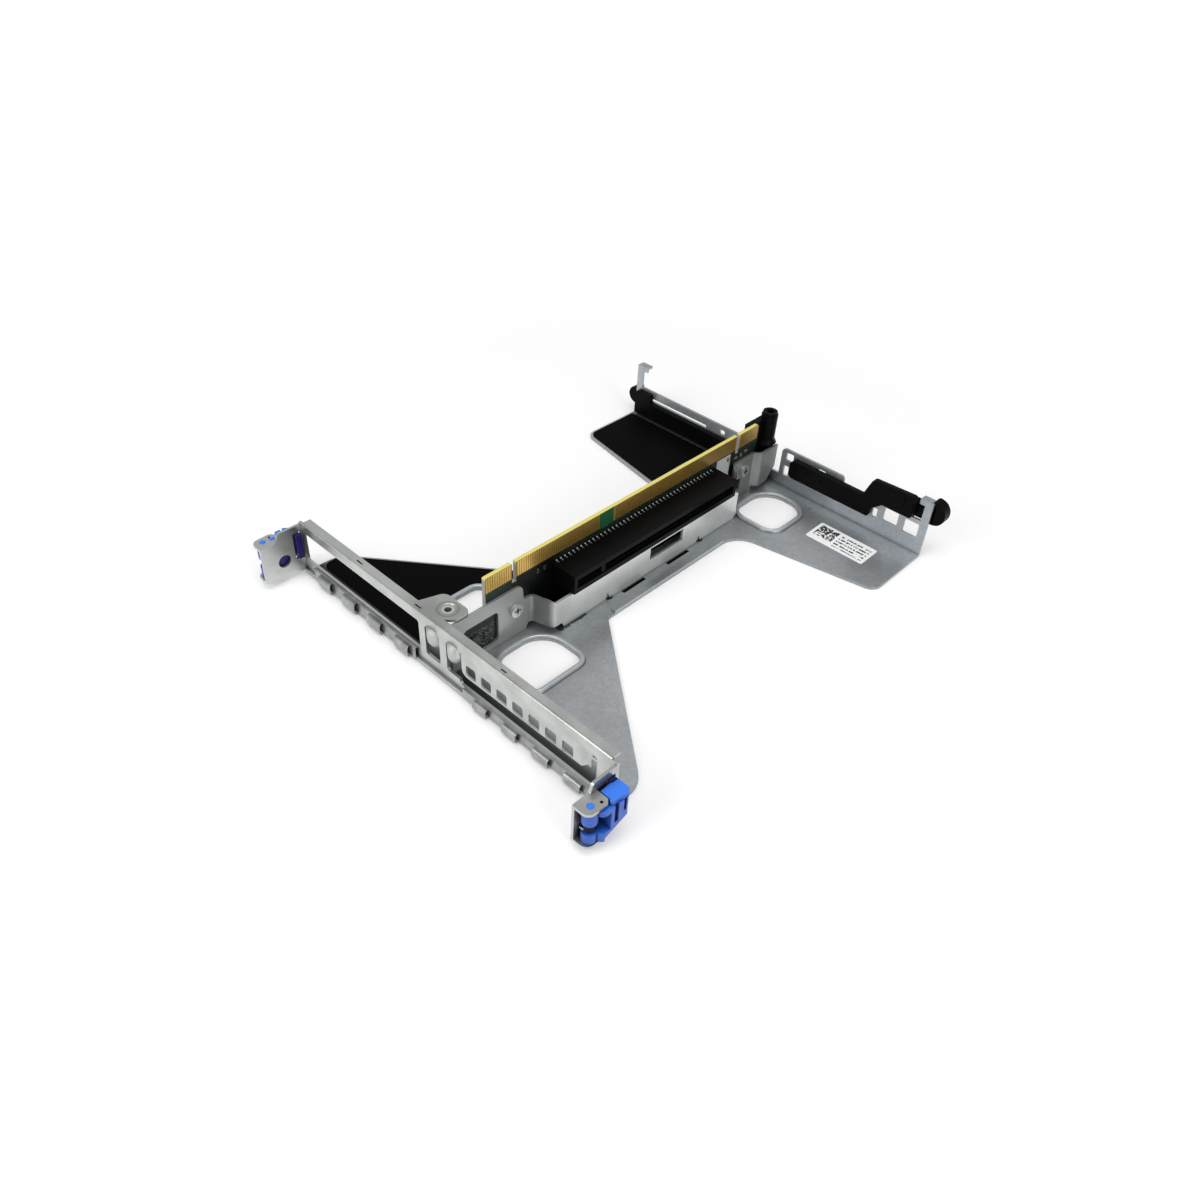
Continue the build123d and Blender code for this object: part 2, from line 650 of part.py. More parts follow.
def board_screws():
    """The two pan-head screws through the carrier and the board."""
    parts = []
    seat = BOARD_T / 2 + SHEET
    for y, z in (SCREW_FRONT, SCREW_REAR):
        head = rod_x(y, z, SCREW_HEAD_R, seat, seat + SCREW_HEAD_H)
        shank = rod_x(y, z, SCREW_R, -BOARD_T / 2 - NUT_H - 0.5, seat + 0.1)
        screw = head + shank
        for width, height in ((RECESS_W, SCREW_HEAD_R), (SCREW_HEAD_R, RECESS_W)):
            screw -= block((seat + SCREW_HEAD_H / 2, seat + 2 * SCREW_HEAD_H),
                           (y - width / 2, y + width / 2), (z - height / 2, z + height / 2))
        parts.append(screw)
    return Compound(children=parts)


def board_nuts():
    """The two hexagon nuts on the board's left face."""
    parts = []
    for y, z in (SCREW_FRONT, SCREW_REAR):
        side = Plane.YZ.offset(-BOARD_T / 2 - NUT_H)
        hexagon = side * Pos(y, z) * RegularPolygon(NUT_FLATS / 2, 6, major_radius=False)
        nut = extrude(hexagon, amount=NUT_H)
        parts.append(nut - rod_x(y, z, SCREW_R + HOLE_CLEAR / 2, -3 * NUT_H, 0))
    return Compound(children=parts)


def guide_post():
    """The moulded post: round tube, collar over the cup and clamp on the board."""
    foot = SHEET
    rear = BOARD_FRONT_Y + BOARD_L
    pads = BOARD_T / 2 + FINGER_T
    post = rod_z(POST_X, POST_Y, TUBE_R, foot, TUBE_TOP - 1.2)
    post += rod_z(POST_X, POST_Y, TUBE_R - 0.4, TUBE_TOP - 2.4, TUBE_TOP)
    collar = Pos(POST_X, POST_Y, COLLAR_Z + 0.9) * Cone(TUBE_R + 1.0, TUBE_R, 1.8)
    post += collar
    clamp = [
        (CLAMP_X, rear - CLAMP_L, 0),
        (-pads, rear - CLAMP_L, 0),
        (-pads, POST_Y, 0),
        (CLAMP_X, POST_Y - 1, 0),
    ]
    post += flat(clamp, CLAMP_LOW, CLAMP_TOP - CLAMP_LOW)
    return post - rod_z(POST_X, POST_Y, TUBE_BORE_R, TUBE_TOP - TUBE_BORE_D, TUBE_TOP + 1)


def right_card_holder():
    """The raised holder: its low bar, its upper arm and the knob behind the wall."""
    front = REAR_WALL_Y - HOLDER_T
    outer = REAR_HALF - POST_W - 0.6
    step = outer - 12.9
    profile = [
        (12.5, 8.0, 0),
        (step - 5.0, 8.0, 0.8),
        (step - 3.7, 12.6, 1.5),
        (step, 15.8, 0),
        (outer - 0.3, 15.8, 1.0),
        (outer, 25.4, 1.5),
        (step - 6.0, 24.6, 1.5),
        (step - 9.1, 16.3, 1.0),
        (12.5, 16.3, 0),
    ]
    holder = across(profile, front, HOLDER_T)
    rear = REAR_WALL_Y + SHEET + 2
    stem_z = (RIGHT_WALL_LOW + 0.3, 23.0)
    holder += block((step, outer - 0.3), (front, rear), stem_z)
    holder += block((step, REAR_HALF + 1), (REAR_WALL_Y + SHEET, rear), stem_z)
    return holder + knob(1, 16.4, 25.0)


def knob(side, low, high):
    """A half-round finger knob just outside the end post."""
    reach = REAR_WALL_Y + SHEET
    corners = [
        (REAR_HALF, low, 0),
        (KNOB_OUT_X, low, 4.0),
        (KNOB_OUT_X, high, 4.0),
        (REAR_HALF, high, 0),
    ]
    grip = across(corners, reach, KNOB_D)
    return grip if side > 0 else mirror(grip, Plane.YZ)


def left_card_holder():
    """The low holder: its bar, the neck through the wall and the knob behind it."""
    front = REAR_WALL_Y - HOLDER_T
    rear = REAR_WALL_Y + SHEET + 2
    outer = 1.5 - REAR_HALF
    stem_out = 9.3 - REAR_HALF
    stem_in = stem_out + 6.6
    profile = [
        (outer, 2.3, 0),
        (-16.0, 2.3, 0),
        (-16.0, 9.4, 0.8),
        (outer + 8.8, 9.4, 0),
        (outer + 8.8, 13.4, 0.8),
        (outer, 13.4, 1.5),
    ]
    holder = across(profile, front, HOLDER_T)
    holder += block((stem_out, stem_in), (front, rear), (4.1, 7.9))
    holder += block((-REAR_HALF - 1, stem_in), (REAR_WALL_Y + SHEET, rear), (4.1, 7.9))
    return holder + knob(-1, 4.5, 12.5)


def film(corners, holes):
    """A thin insulating film on the left of the base, cut clear of a hole's rim."""
    sheet = outline(corners)
    for hole in holes:
        sheet -= ring_of(mirrored(hole), FILM_HOLE_MARGIN)
    return extrude(Plane.XY.offset(SHEET) * sheet, amount=FILM_T)


def wing_film():
    slope = (WAIST_FRONT_Y - FRONT_CORNER_Y) / (FRONT_HALF - WAIST_HALF)
    drop = FILM_MARGIN * 1.3
    outer = FRONT_HALF - FILM_MARGIN
    inner = 14.5
    front = FLANGE_D + 1.7
    rise = FRONT_CORNER_Y - drop + slope * (FRONT_HALF - inner)
    corners = [
        (-outer, front, 3.5),
        (-inner, front, 1.0),
        (-inner, rise, 2.0),
        (-outer, FRONT_CORNER_Y - drop + slope * FILM_MARGIN, 5.0),
    ]
    return film(corners, [NEAR_HOLE])


def arm_film():
    outer = REAR_HALF - FILM_MARGIN
    rear = REAR_WALL_Y - HOLDER_T - 0.5
    corners = [
        (-outer, REAR_CORNER_Y + FILM_MARGIN, 4.0),
        (-WAIST_HALF - 2.0, WAIST_REAR_Y + 2 * FILM_MARGIN, 2.0),
        (-WAIST_HALF + 4.0, rear, 1.0),
        (-outer, rear, 1.0),
    ]
    return film(corners, [FAR_HOLE])


def filler_bracket():
    """The slot cover behind the right opening, with its row of air holes."""
    y = SHEET
    corners = [
        (COVER_X, COVER_LOW_Z, 2.5),
        (72.0, COVER_LOW_Z, 0),
        (72.0, STRIP_LOW_Z + 1.6, 0),
        (COVER_X, STRIP_LOW_Z + 1.6, 1.0),
    ]
    plate = across(corners, y, FILLER_T)
    for n in range(FILLER_HOLES):
        x = 14.6 + FILLER_PITCH * n
        half = FILLER_HOLE / 2
        hole = cut_corners((x - half, x + half), (11.9 - half, 11.9 + half), 0.5)
        plate -= across(hole, y - 1, 3)
    plate -= block((66.8, 71.2), (0, 3), (15.2, 16.2))
    plate -= block((66.6, 71.0), (0, 3), (COVER_LOW_Z - 1, 11.6))
    return plate


def contact_strip(spans, low, high, top):
    """A springy grounding strip: a clipped band with bulged fingers in front of it."""
    front = -LIP_D
    band = block((low, high), (front - STRIP_T, front), (SHEET, top))
    band += block((low, high), (front - STRIP_T, 0), (top - STRIP_T, top))
    crest = front - 1.7
    foot = SHEET - STRIP_GAP
    spring = [
        (front - 0.1, top, 0),
        (crest, top - 1.4, 0),
        (crest, foot + 0.9, 0),
        (front - 0.9, foot, 0),
        (front - 0.9, foot + STRIP_T, 0),
        (crest + STRIP_T, foot + 1.0, 0),
        (crest + STRIP_T, top - 1.4 - STRIP_T, 0),
        (front - 0.1, top - STRIP_T, 0),
    ]
    for x0, x1 in spans:
        band += along(spring, x0, x1 - x0)
    return band


def label():
    x, y = REAR_HALF - LABEL_IN, REAR_WALL_Y - LABEL_FROM_WALL
    width, length = LABEL_SIZE
    corners = cut_corners((x, x + width), (y, y + length), 0.5)
    return flat(corners, SHEET, LABEL_T)


RIGHT_SPANS = ((18.4, 24.1), (32.1, 38.0), (45.6, 52.1), (59.2, 65.6))
LEFT_SPANS = ((-65.8, -59.0), (-51.5, -44.4), (-37.1, -30.0), (-22.0, -14.9))

NODES = {
    "base_plate": base_plate(),
    "io_bracket": io_bracket(),
    "board_carrier": board_carrier(),
    "riser_board": riser_board(),
    "edge_fingers": edge_fingers(),
    "right_connector": connector(1),
    "left_connector": connector(-1),
    "right_connector_pins": pins(1),
    "left_connector_pins": pins(-1),
    "board_components": board_components(),
    "board_screws": board_screws(),
    "board_nuts": board_nuts(),
    "guide_post": guide_post(),
    "right_card_holder": right_card_holder(),
    "left_card_holder": left_card_holder(),
    "right_card_latch": card_latch(1),
    "left_card_latch": card_latch(-1),
    "right_latch_spring": latch_spring(1),
    "left_latch_spring": latch_spring(-1),
    "wing_film": wing_film(),
    "arm_film": arm_film(),
    "slot_cover": filler_bracket(),
    "right_contact_strip": contact_strip(RIGHT_SPANS, 12.0, 70.0, RIGHT_LIP_TOP - 0.2),
    "left_contact_strip": contact_strip(LEFT_SPANS, -70.0, -12.0, LIP_TOP - 0.8),
    "asset_label": label(),
}

os.makedirs("parts", exist_ok=True)
for name, shape in NODES.items():
    export_step(Pos(0, -MIDDLE_Y, 0) * shape, f"parts/{name}.step")
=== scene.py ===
import json
import math

import bmesh
import bpy
from mathutils import Matrix, Vector


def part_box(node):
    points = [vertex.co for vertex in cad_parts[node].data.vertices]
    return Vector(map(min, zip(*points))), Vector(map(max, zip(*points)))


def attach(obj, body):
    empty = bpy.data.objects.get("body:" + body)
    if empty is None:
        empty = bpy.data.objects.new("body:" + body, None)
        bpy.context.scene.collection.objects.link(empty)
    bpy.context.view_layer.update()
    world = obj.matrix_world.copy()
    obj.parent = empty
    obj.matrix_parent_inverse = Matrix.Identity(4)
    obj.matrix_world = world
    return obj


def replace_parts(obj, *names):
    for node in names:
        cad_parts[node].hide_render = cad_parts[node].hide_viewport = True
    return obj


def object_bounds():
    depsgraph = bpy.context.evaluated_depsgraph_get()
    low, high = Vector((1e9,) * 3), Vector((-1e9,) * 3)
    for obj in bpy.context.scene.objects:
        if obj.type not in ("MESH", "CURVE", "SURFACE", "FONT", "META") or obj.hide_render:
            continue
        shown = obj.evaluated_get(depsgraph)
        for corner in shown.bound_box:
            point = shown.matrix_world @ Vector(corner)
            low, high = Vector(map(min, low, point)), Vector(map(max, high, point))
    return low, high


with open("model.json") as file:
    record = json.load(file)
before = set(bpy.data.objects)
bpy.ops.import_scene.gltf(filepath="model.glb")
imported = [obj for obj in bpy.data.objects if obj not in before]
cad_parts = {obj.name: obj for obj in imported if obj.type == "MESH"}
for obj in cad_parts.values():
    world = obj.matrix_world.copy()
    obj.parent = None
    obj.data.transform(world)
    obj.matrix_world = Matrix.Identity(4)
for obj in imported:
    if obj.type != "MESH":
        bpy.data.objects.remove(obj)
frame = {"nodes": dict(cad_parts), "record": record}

bl_info = {
    "name": "Server riser looks",
    "version": (1, 0, 0),
    "blender": (4, 5, 0),
    "location": "View3D > Sidebar > Riser",
    "description": "Finishes and small fittings for the packed server riser",
    "category": "Object",
}

CAD_LOW, CAD_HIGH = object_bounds()
MM = 0.001
MIDDLE_Y = 82.9
FRAME_BODY = "frame"
RIGHT_LOW, RIGHT_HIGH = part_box("right_connector")
LEFT_LOW, LEFT_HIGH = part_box("left_connector")
LABEL_LOW, LABEL_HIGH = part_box("asset_label")


def at(x, y, z):
    """A point given in the part's own mm, in the scene's metres."""
    return Vector((x, y - MIDDLE_Y, z)) * MM


def colour_prop(name, text, value):
    return bpy.props.FloatVectorProperty(
        name=name, description=text, subtype="COLOR", size=3, min=0.0, max=1.0, default=value)


def length_prop(name, text, value):
    return bpy.props.FloatProperty(name=name, description=text, unit="LENGTH", default=value)


class RiserFinishes(bpy.types.PropertyGroup):
    """Colours of the riser's metals, plastics and board."""
    galvanised: colour_prop("Galvanised sheet", "Base plate and rear wall", (0.43, 0.455, 0.475))
    plated: colour_prop("Plated sheet", "Slot bracket, carrier and slot cover", (0.52, 0.535, 0.52))
    mask: colour_prop("Solder mask", "Circuit board faces", (0.0035, 0.0085, 0.006))
    gilt: colour_prop("Gilt", "Card-edge fingers", (0.86, 0.58, 0.17))
    laminate: colour_prop("Laminate", "Cut edge of the circuit board", (0.40, 0.40, 0.35))
    black: colour_prop("Black plastic", "Connectors, holders and post", (0.0028, 0.0028, 0.003))
    blue: colour_prop("Blue plastic", "Card latches", (0.040, 0.200, 0.84))
    film: colour_prop("Film", "Insulating film", (0.0020, 0.0020, 0.0022))
    steel: colour_prop("Screw steel", "Screws, nuts and springs", (0.66, 0.67, 0.68))
    paper: colour_prop("Label", "Label stock", (0.96, 0.97, 0.97))
    print_ink: colour_prop("Label print", "Plain marks on the label", (0.03, 0.03, 0.035))
    chip: colour_prop("Small parts", "Soldered parts on the board", (0.20, 0.17, 0.13))


class RiserFittings(bpy.types.PropertyGroup):
    """Sizes of the fittings that this file adds."""
    edge_round: length_prop("Edge round", "Rounding of cut and folded edges", 0.18 * MM)
    finger_width: length_prop("Finger width", "Width of one card-edge finger", 0.70 * MM)
    wire_radius: length_prop("Spring wire", "Radius of the latch spring's wire", 0.22 * MM)
    bead_radius: length_prop("Rim bead", "Radius of the rolled rims' crest", 0.55 * MM)
    contact_pitch: length_prop("Contact pitch", "Spacing of the connector contacts", 1.0 * MM)
    contact_width: length_prop("Contact width", "Width of one spring contact", 0.45 * MM)


class RiserStage(bpy.types.PropertyGroup):
    """Camera and light."""
    lens: bpy.props.FloatProperty(name="Lens", description="Focal length in mm", default=30.056)
    azimuth: bpy.props.FloatProperty(
        name="Azimuth", description="Where the camera stands", subtype="ANGLE",
        default=math.radians(-48.41))
    elevation: bpy.props.FloatProperty(
        name="Elevation", description="Height of the camera", subtype="ANGLE",
        default=math.radians(40.06))
    roll: bpy.props.FloatProperty(
        name="Roll", description="Turn about the view", subtype="ANGLE",
        default=math.radians(3.46))
    aim: bpy.props.FloatVectorProperty(
        name="Aim", description="Point that the distance is taken from", subtype="XYZ",
        default=(0.0, -0.0029, 0.011))
    offset: bpy.props.FloatVectorProperty(
        name="Offset", description="Aim point seen from the camera: right, down, ahead",
        subtype="XYZ", default=(0.00383, -0.01802, 0.36814))
    key_power: bpy.props.FloatProperty(name="Key", description="Key light in watts", default=2.8)
    fill_power: bpy.props.FloatProperty(name="Fill", description="Fill light in watts", default=2.4)
    world_level: bpy.props.FloatProperty(name="World", description="World strength", default=0.42)
    top_power: bpy.props.FloatProperty(name="Top", description="Top light in watts", default=2.7)


class Value:
    """A socket that takes part in Python arithmetic; each expression adds its node."""

    def __init__(self, finish, socket):
        self.finish = finish
        self.socket = socket

    def _maths(self, operation, *values, clamp=False):
        settings = {"operation": operation, "use_clamp": clamp}
        return self.finish.node("ShaderNodeMath", settings, dict(enumerate(values)))

    def __add__(self, other):
        return self._maths("ADD", self, other)

    def __radd__(self, other):
        return self._maths("ADD", other, self)

    def __sub__(self, other):
        return self._maths("SUBTRACT", self, other)

    def __rsub__(self, other):
        return self._maths("SUBTRACT", other, self)

    def __mul__(self, other):
        return self._maths("MULTIPLY", self, other)

    def __truediv__(self, other):
        return self._maths("DIVIDE", self, other)

    def __gt__(self, other):
        return self._maths("GREATER_THAN", self, other)

    def __lt__(self, other):
        return self._maths("LESS_THAN", self, other)

    def __abs__(self):
        return self._maths("ABSOLUTE", self)

    def clamped(self):
        return self._maths("ADD", self, 0.0, clamp=True)

    def wrapped(self, span):
        return self._maths("WRAP", self, span, 0.0)

    def smooth(self, low, high):
        settings = {"interpolation_type": "SMOOTHSTEP"}
        return self.finish.node("ShaderNodeMapRange", settings, {0: self, 1: low, 2: high})


class Finish:
    """One material in the making, with its shader and its object-space coordinates."""

    def __init__(self, name):
        self.material = bpy.data.materials.new(name)
        self.material.use_nodes = True
        self.tree = self.material.node_tree
        self.shader = self.tree.nodes["Principled BSDF"]
        self.place = self.node("ShaderNodeTexCoord", output="Object")

    def node(self, kind, settings=None, inputs=None, output=0):
        made = self.tree.nodes.new(kind)
        for name, value in (settings or {}).items():
            setattr(made, name, value)
        for name, value in (inputs or {}).items():
            self.feed(made.inputs[name], value)
        return Value(self, made.outputs[output])

    def feed(self, socket, value):
        if isinstance(value, Value):
            self.tree.links.new(value.socket, socket)
        elif isinstance(value, (tuple, list)) and socket.type == "RGBA" and len(value) == 3:
            socket.default_value = (*value, 1.0)
        else:
            socket.default_value = value

    def set(self, **values):
        for name, value in values.items():
            self.feed(self.shader.inputs[name.replace("_", " ")], value)
        return self

    def axes(self, vector):
        split = self.node("ShaderNodeSeparateXYZ", inputs={0: vector})
        outputs = split.socket.node.outputs
        return [Value(self, outputs[n]) for n in range(3)]

    def part_mm(self):
        """The part's own x, y and z in mm."""
        x, y, z = self.axes(self.place)
        return x / MM, y / MM + MIDDLE_Y, z / MM

    def stretch(self, vector, scale):
        return self.node("ShaderNodeVectorMath", {"operation": "MULTIPLY"}, {0: vector, 1: scale})

    def noise(self, scale, detail=2.0, rough=0.5, vector=None):
        return self.node("ShaderNodeTexNoise", inputs={
            "Vector": vector or self.place, "Scale": scale, "Detail": detail, "Roughness": rough})

    def streaks(self, scale, detail=2.0):
        """Noise with a scale of its own on each axis."""
        return self.noise(1.0, detail, vector=self.stretch(self.place, scale))

    def cells(self, vector, scale=1.0, feature="F1", output="Color"):
        return self.node("ShaderNodeTexVoronoi", {"feature": feature},
                         {"Vector": vector, "Scale": scale}, output)

    def facing_up(self):
        """How far the surface faces up, from -1 to 1."""
        normal = self.node("ShaderNodeNewGeometry", output="Normal")
        return self.axes(normal)[2]

    def open_air(self, reach):
        """1 on open surfaces, falling towards 0 in recesses narrower than the reach."""
        return self.node("ShaderNodeAmbientOcclusion", {"samples": 8},
                         {"Distance": reach * MM}, "AO")

    def near(self, point):
        """Distance in mm from a point given in the part's own mm."""
        x, y, z = point
        far = self.node("ShaderNodeVectorMath", {"operation": "DISTANCE"}, {
            0: self.place, 1: tuple(at(x, y, z))}, "Value")
        return far / MM

    def spots(self, points, radius):
        """1 within the radius in mm of any of the points."""
        return sum((self.near(point) < radius for point in points), 0.0).clamped()

    def grey(self, colour):
        return self.node("ShaderNodeRGBToBW", inputs={0: colour})

    def blend(self, factor, low, high):
        made = self.tree.nodes.new("ShaderNodeMix")
        made.data_type = "RGBA"
        self.feed(made.inputs[0], factor)
        self.feed(made.inputs[6], low)
        self.feed(made.inputs[7], high)
        return Value(self, made.outputs[2])

    def bump(self, height, strength, distance):
        return self.node("ShaderNodeBump", inputs={
            "Height": height, "Strength": strength, "Distance": distance})


def within(value, low, high):
    return (value > low) * (value < high)


def band(value, rise, fall):
    """1 between two soft edges, each given as the pair of values that it spans."""
    return value.smooth(*rise) * (1.0 - value.smooth(*fall))


def scaled(colour, factor):
    return tuple(min(1.0, c * factor) for c in colour)


# The plate's marks and the places of its painted shade and highlight, in the part's own mm
PLATE_TOP = 1.0
PLATE_SHADE_Z = 1.2
NIBS = ((28.5, 17.8, PLATE_TOP), (40.1, 17.8, PLATE_TOP))
NIB_R = 0.55
DIMPLE = (28.5, 171.0, PLATE_TOP)
DIMPLE_R = (0.4, 1.8)
STAKES = ((9.3, 69.4, PLATE_TOP), (9.3, 120.9, PLATE_TOP))
STAKE_SHADE_R = 1.9
BRACKET_SHADE_Y = (4.0, 11.0)
BRACKET_SHADE_Z = 2.4
RIM_X = 31.0
RIM_Y = ((12.0, 44.0), (142.0, 172.0))
RIM_TOP_Z = 2.4
CREST_SHINE_Z = (1.75, 2.05)
RIM_FOOT_SHADE_Z = (1.03, 1.45)
WALL_FOOT_SHADOW_X = (7.6, 11.2)
WALL_FOOT_SHADOW_Y = (43.5, 57.0)
RAGGED_EDGE = 2.4
UNDER_BOARD_X = (-9.3, 9.3)
UNDER_BOARD_Y = (46.0, 140.0)
FINE_BUMP = 0.0001


def galvanised_finish(looks):
    """Spangled sheet with the plate's small marks, painted shade in its corners and under things,
    and painted highlights on its rims.
    """
    f = Finish("galvanised sheet")
    x, y, z = f.part_mm()
    warp = f.noise(900.0, 3.0)
    spangle = f.grey(f.cells(f.node("ShaderNodeVectorMath", {"operation": "ADD"}, {
        0: f.place, 1: f.stretch(warp, (0.0006, 0.0006, 0.0006))}), 1100.0))
    cloud = f.noise(75.0, 3.0, 0.55)
    patch = f.noise(30.0)
    speck = f.noise(620.0, 3.0, 0.6)
    mottle = spangle * 0.20 + cloud * 0.30 + patch * 0.30 + speck * 0.20
    base = tuple(looks.galvanised)
    tone = f.blend(mottle.smooth(0.30, 0.72), scaled(base, 0.84), scaled(base, 1.14))
    tone = f.blend(f.spots(NIBS, NIB_R) * 0.75, tone, scaled(base, 0.15))
    # Painted shade in recesses.
    tone = f.blend(f.open_air(3.0).smooth(0.15, 0.85), scaled(base, 0.30), tone)
    # Painted shade on the plate just behind the bracket.
    shade_behind_bracket = (1.0 - y.smooth(*BRACKET_SHADE_Y)) * (z < BRACKET_SHADE_Z)
    tone = f.blend(shade_behind_bracket, tone, scaled(base, 0.10))
    near_rims = (abs(x) < RIM_X) * sum((within(y, *run) for run in RIM_Y), 0.0).clamped()
    # Painted shade at the foot of the rims.
    tone = f.blend(within(z, *RIM_FOOT_SHADE_Z) * near_rims * 0.65, tone, scaled(base, 0.25))
    # Painted highlight on the rims' crests.
    crest = z.smooth(*CREST_SHINE_Z) * (z < RIM_TOP_Z) * near_rims
    tone = f.blend(crest * 0.8, tone, scaled(base, 1.7))
    # Painted shade on the plate under the board and connectors.
    on_plate = z < PLATE_SHADE_Z
    shade_under_board = within(x, *UNDER_BOARD_X) * within(y, *UNDER_BOARD_Y) * on_plate
    tone = f.blend(shade_under_board * 0.9, tone, scaled(base, 0.06))
    # Painted shadow with a ragged edge at the carrier wall's foot, and painted shade at the stake
    # notches.
    foot_edge = (warp - 0.5) * RAGGED_EDGE + WALL_FOOT_SHADOW_X[1]
    wall_foot_shadow = within(x, WALL_FOOT_SHADOW_X[0], foot_edge) * within(y, *WALL_FOOT_SHADOW_Y) * on_plate
    shaded = (wall_foot_shadow * 0.9 + f.spots(STAKES, STAKE_SHADE_R)).clamped()
    tone = f.blend(shaded, tone, scaled(base, 0.08))
    dimple = 1.0 - f.near(DIMPLE).smooth(*DIMPLE_R)
    fine = f.bump(f.noise(1700.0), 0.10, FINE_BUMP)
    press = f.node("ShaderNodeBump", inputs={
        "Height": dimple, "Strength": 0.5, "Distance": 0.0006, "Normal": fine})
    f.set(Base_Color=tone, Metallic=0.82, Roughness=0.31 + speck * 0.12 + patch * 0.08,
          Normal=press)
    return f.material


EAR_HOLE = (-4.4, 7.7, 22.1)
EAR_RING_SHADE_RISE = (3.0, 3.5)
EAR_RING_SHADE_FALL = (3.7, 4.3)
EAR_LIP_SHINE_R = (1.7, 2.4)
FLANGE_SPLIT_X = (-24.0, -8.0)


def plated_finish(looks):
    """Bright sheet with a painted highlight on the flange's left top faces, painted shade on its
    right ones, and painted shade and highlight rings at the drawn ear.
    """
    f = Finish("plated sheet")
    cloud = f.noise(120.0, 3.0)
    grain = f.streaks((300.0, 2400.0, 2400.0))
    base = tuple(looks.plated)
    tone = f.blend(cloud.smooth(0.3, 0.75), scaled(base, 0.88), scaled(base, 1.12))
    # Painted highlight on up-facing faces left of the split, painted shade on those right of it.
    top = f.facing_up().smooth(0.80, 0.98)
    right = f.part_mm()[0].smooth(*FLANGE_SPLIT_X)
    tone = f.blend(top * (1.0 - right) * 0.7, tone, scaled(base, 1.45))
    tone = f.blend(top * right * 0.18, tone, scaled(base, 0.30))
    # Painted shade on a ring round the drawn ear and a painted highlight on the lip of its hole.
    drawn = f.near(EAR_HOLE)
    tone = f.blend(band(drawn, EAR_RING_SHADE_RISE, EAR_RING_SHADE_FALL) * 0.45, tone, scaled(base, 0.30))
    tone = f.blend((1.0 - drawn.smooth(*EAR_LIP_SHINE_R)) * 0.6, tone, scaled(base, 1.6))
    # Painted shade in recesses.
    tone = f.blend(f.open_air(2.5).smooth(0.10, 0.80), scaled(base, 0.22), tone)
    f.set(Base_Color=tone, Metallic=0.86, Roughness=0.21 + cloud * 0.12 + grain * 0.06,
          Normal=f.bump(grain, 0.06, FINE_BUMP))
    return f.material


WALL_RISE_Y = (40.6, 42.4)
WALL_FALL_Y = (143.0, 144.5)
FRONT_END_Y = (36.0, 39.5)


def carrier_finish(looks):
    """Plated sheet with a painted highlight on its long wall and painted shade on its folded tabs.
    """
    f = Finish("carrier sheet")
    cloud = f.noise(150.0, 3.0)
    grain = f.streaks((2200.0, 2200.0, 260.0))
    y = f.part_mm()[1]
    # Painted light on the long wall and, weaker, on the front end; the rest is painted shade.
    wall = band(y, WALL_RISE_Y, WALL_FALL_Y)
    front = 1.0 - y.smooth(*FRONT_END_Y)
    base = tuple(looks.plated)
    tone = f.blend((wall + front * 0.30).clamped(), scaled(base, 0.44), scaled(base, 1.52))
    tone = f.blend(cloud.smooth(0.3, 0.75) * 0.25, tone, scaled(base, 0.80))
    # Painted shade in recesses.
    tone = f.blend(f.open_air(2.5).smooth(0.05, 0.65), scaled(base, 0.22), tone)
    f.set(Base_Color=tone, Metallic=0.55, Roughness=0.26 + cloud * 0.12 + grain * 0.06,
          Normal=f.bump(grain, 0.06, FINE_BUMP))
    return f.material


def spring_finish(looks):
    f = Finish("spring steel")
    cloud = f.noise(260.0, 3.0)
    base = scaled(tuple(looks.plated), 0.72)
    tone = f.blend(cloud.smooth(0.3, 0.75), scaled(base, 0.80), scaled(base, 1.15))
    # Painted shade in recesses.
    tone = f.blend(f.open_air(1.5).smooth(0.10, 0.85), scaled(base, 0.20), tone)
    f.set(Base_Color=tone, Metallic=0.85, Roughness=0.26 + cloud * 0.16)
    return f.material


TONGUE_SHADE_Z = (11.0, 14.5)


def tongue_finish(looks):
    """Satin sheet with painted shade towards the tongues' lower ends."""
    f = Finish("drawn tongues")
    cloud = f.noise(300.0, 3.0)
    base = tuple(looks.plated)
    tone = f.blend(cloud, scaled(base, 0.80), scaled(base, 1.05))
    # Painted shade towards the lower ends.
    lit = f.part_mm()[2].smooth(*TONGUE_SHADE_Z)
    tone = f.blend(lit, scaled(base, 0.18), tone)
    f.set(Base_Color=tone, Metallic=0.55, Roughness=0.50 + cloud * 0.10)
    return f.material


COIL_LEGS = ((-78.7, -14.75, 8.5), (78.7, -14.75, 8.5))
COIL_LEG_R = 0.75
COIL_SHADE_DARK = (0.006, 0.006, 0.020)
COIL_SHADE_PALE = (0.020, 0.020, 0.045)
COIL_LEG_GLINT = (0.85, 0.86, 0.86)


def coil_finish(looks):
    """Wire painted near black as the shade in its recess, with a painted glint at the end of each
    spring's leg.
    """
    f = Finish("latch coil")
    # Painted shade over the whole wire.
    tone = f.blend(f.noise(900.0), COIL_SHADE_DARK, COIL_SHADE_PALE)
    # Painted glint at each leg's end.
    tone = f.blend(f.spots(COIL_LEGS, COIL_LEG_R), tone, COIL_LEG_GLINT)
    f.set(Base_Color=tone, Metallic=0.5, Roughness=0.45)
    return f.material


